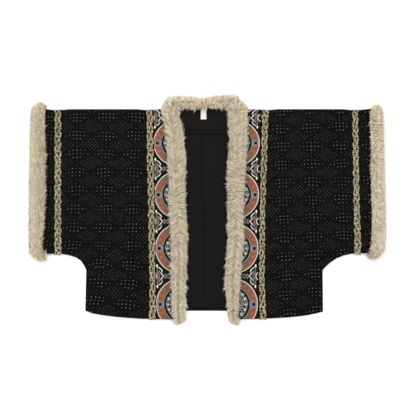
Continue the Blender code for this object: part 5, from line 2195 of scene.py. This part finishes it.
@dataclass
class FurTrim:
    """The five strips of fur."""

    front_hairs: int = 10400
    cuff_hairs: int = 9600
    neck_hairs: int = 6400

    def strips(self) -> tuple[FurStrip, ...]:
        """Describe the strips."""
        return (
            FurStrip(
                "fur_pile_front_left", "fur_front_left", 11, self.front_hairs, Comb.PARTED,
                ((-71, -289), (-71, -227), (-70, -77), (-75.6, 22), (-78, 122), (-89.5, 222), (-92.5, 242.5),
                 (-86, 262)),
                ((0.0, -52), (0.25, -46), (0.36, -30), (0.45, 28), (0.6, 46), (1.0, 52)),
                (Fan((-82, 240), (-0.3, 0.95), 20.0, (0.8, 0.6), 7.0, ((0.0, 1.0, -6.5), (-0.9, -0.3, 4.0))),
                 Fan((-70, -268), (0.0, -1.0), 14.0, pulls=((1.0, 0.0, 13.0), (0.75, -0.66, -6.5),
                                                           (-1.0, 0.0, -9.0), (-0.4, -0.9, 3.0)))),
                ((-280, 0, 1.5), (0, 0, 1.5), (80, 0, 2.5), (165, 0.5, 5.0), (205, 1.0, 6.0),
                 (250, 2.0, 3.0)), paler=0.14),
            FurStrip(
                "fur_pile_front_right", "fur_front_right", 12, self.front_hairs, Comb.PARTED,
                ((66.9, -289), (65.2, -227), (64.4, -177), (72.5, -77), (71.3, 22), (73.8, 122), (76.8, 222),
                 (73, 249), (64, 262)),
                ((0.0, -50), (0.3, -44), (0.45, -34), (0.55, 0), (0.62, 34), (1.0, 50)),
                (Fan((70, 240), (0.3, 0.95), 20.0, (-0.8, 0.6), 7.0, ((-0.2, 1.0, -9.0), (0.76, 0.64, 6.0))),
                 Fan((67, -268), (0.0, -1.0), 14.0, pulls=((-1.0, 0.0, 3.0), (-0.7, -0.7, -2.0),
                                                          (0.7, -0.7, 8.0), (0.0, -1.0, -3.0)))),
                ((-280, 2.0, 1.0), (-200, 2.0, 1.0), (-60, 0, 0), (40, -2.5, 0), (160, -4.0, 0),
                 (250, -1.0, 0)), paler=0.14),
            FurStrip(
                "fur_pile_neck", "fur_neck", 13, self.neck_hairs, Comb.PARTED,
                ((-104, 268), (-84.4, 262), (-67.5, 262), (-52.5, 261), (-35, 258), (-17.5, 257),
                 (-6.2, 257.5), (9.4, 260), (25, 260.5), (40.6, 262), (53.8, 260), (63.1, 261), (79, 266)),
                ((0.0, -40), (0.3, -22), (0.5, 5), (0.7, 22), (1.0, 40)),
                (Fan((-62, 258), (-1.0, 0.0), 30.0, (-0.9, -0.4),
                     pulls=((0.0, 1.0, -6.0), (-0.7, 0.7, -5.0))),
                 Fan((42, 258), (1.0, 0.0), 30.0, (0.9, -0.4),
                     pulls=((0.0, 1.0, -7.0), (0.9, 0.4, 3.0)))),
                ((-110, -5.5, 0), (-50, -4.7, 0), (-30, 0.0, 1.0), (0, -2.0, 0), (15, -4.0, 2.0),
                 (42, -2.7, 4.0), (60, -4.5, 0), (80, -4.0, 0)), axis=0, ruffle=18.0, length=19.0,
                lock_width=6.4, overshoot=14.0, inset=5.0, stray=0.1, paler=0.1, shade_slope=(0.0, -0.01)),
            FurStrip(
                "fur_pile_cuff_left", "fur_cuff_left", 14, self.cuff_hairs, Comb.SWEPT,
                ((-424, -110), (-427, 60), (-423, 249)),
                ((0.0, 118), (0.3, 108), (0.6, 104), (0.85, 116), (1.0, 130)),
                (Fan((-421, 236), (0.0, 1.0), 24.0, pulls=((0.85, 0.5, 6.0),)),
                 Fan((-422, -100), (0.0, -1.0), 20.0, pulls=((-0.8, -0.6, 0.0), (-0.4, -0.9, 4.0),
                                                            (0.0, -1.0, -15.0), (0.65, -0.76, 24.0)))),
                ((-110, -2.0, 0.0), (-70, -3.0, 1.0), (-40, -3.5, 3.5), (20, -3.5, 4.5), (150, -3.5, 4.5),
                 (200, -2.0, 1.5), (240, -1.0, 0.0)), length=12.0, base_depth=9.0, lock_width=3.2,
                lock_length=6.5, lock_point=4.0, ruffle=22.0, stray=0.08, shade_slope=(0.015, 0.0)),
            FurStrip(
                "fur_pile_cuff_right", "fur_cuff_right", 15, self.cuff_hairs, Comb.SWEPT,
                ((412, -110), (427, 60), (423, 249)),
                ((0.0, -58), (0.3, -48), (0.5, -30), (0.62, -14), (1.0, -3)),
                (Fan((420, 238), (0.0, 1.0), 24.0, pulls=((-0.8, 0.6, -6.0),)),
                 Fan((414, -98), (-0.1, -1.0), 20.0, pulls=((-0.9, -0.3, -7.0), (0.9, -0.4, -1.5)))),
                ((-110, -0.5, -1.0), (-60, -1.5, -1.5), (60, -1.0, -2.5), (160, -1.0, -2.5), (240, 0, -1.0)),
                length=16.0, base_depth=9.0, lock_width=4.4, lock_length=14.0, ruffle=6.0,
                shade_slope=(-0.015, 0.0)))

    def build(self, effects: Effects) -> list[Object]:
        """Comb every strip."""
        material = FurFinish().material(effects)
        return [strip.build(material) for strip in self.strips()]


# Studio


@dataclass
class Studio:
    """The floor, the light and the camera that looks straight down."""

    photo_width: float = 1.04
    camera_height: float = 8.0
    aim: Pair = (0.0025, 0.0025)
    floor_half: float = 6.0
    world_strength: float = 1.06
    sensor: float = 36.0
    far: float = 100.0
    floor_drop: float = 0.0004
    lamps: tuple[tuple[str, Row, float, float], ...] = (
        ("key lamp", (-0.9, 2.4, 2.4), 1.6, 62.0), ("fill lamp", (1.9, -1.2, 2.8), 2.2, 20.0))

    def floor(self, effects: Effects) -> None:
        """Lay the floor just under the jacket.

        Args:
            effects: the shared effects.
        """
        rim = self.floor_half
        mesh = bpy.data.meshes.new("floor")
        mesh.from_pydata([(-rim, -rim, 0), (rim, -rim, 0), (rim, rim, 0), (-rim, rim, 0)], [], [(0, 1, 2, 3)])
        mesh.materials.append(FloorFinish().material(effects))
        floor = put("floor", mesh)
        floor.location.z = -self.floor_drop

    def lamp(self, name: str, place: Row, size: float, power: float) -> None:
        """Hang a large soft lamp that faces the jacket.

        Args:
            name: its name.
            place: where it hangs, in metres.
            size: its width in metres.
            power: its power in watts.
        """
        light = bpy.data.lights.new(name, "AREA")
        light.shape = "SQUARE"
        light.size = size
        light.energy = power
        lamp = put(name, light)
        lamp.location = place
        lamp.rotation_euler = (-Vector(place)).to_track_quat("-Z", "Y").to_euler()

    def camera(self) -> None:
        """Set the camera over the jacket, with the photograph's framing."""
        data = bpy.data.cameras.new("camera")
        data.sensor_width = self.sensor
        data.lens = self.sensor * self.camera_height / self.photo_width
        data.clip_end = self.far
        camera = put("camera", data)
        camera.location = (*self.aim, self.camera_height)
        bpy.context.scene.camera = camera

    def build(self, effects: Effects) -> None:
        """Set everything up.

        Args:
            effects: the shared effects.
        """
        scene = bpy.context.scene
        scene.view_settings.view_transform = "Standard"
        world = bpy.data.worlds.new("studio")
        world.use_nodes = True
        sky = world.node_tree.nodes["Background"].inputs
        sky["Color"].default_value = (1.0, 1.0, 1.0, 1.0)
        sky["Strength"].default_value = self.world_strength
        scene.world = world
        self.floor(effects)
        for lamp in self.lamps:
            self.lamp(*lamp)
        self.camera()


def main() -> None:
    """Build the jacket's pieces in order."""
    logging.basicConfig(level=logging.INFO, format="%(message)s")
    effects = Effects.built()
    shells = Shell().build(effects)
    inside = Inside().build(effects)
    Sewing().build(effects, (*shells, *inside[:-1]))
    Ribbons().build(effects)
    Trims().build(effects, shells)
    FurTrim().build(effects)
    Studio().build(effects)
    bpy.context.view_layer.update()


if __name__ == "__main__":
    main()
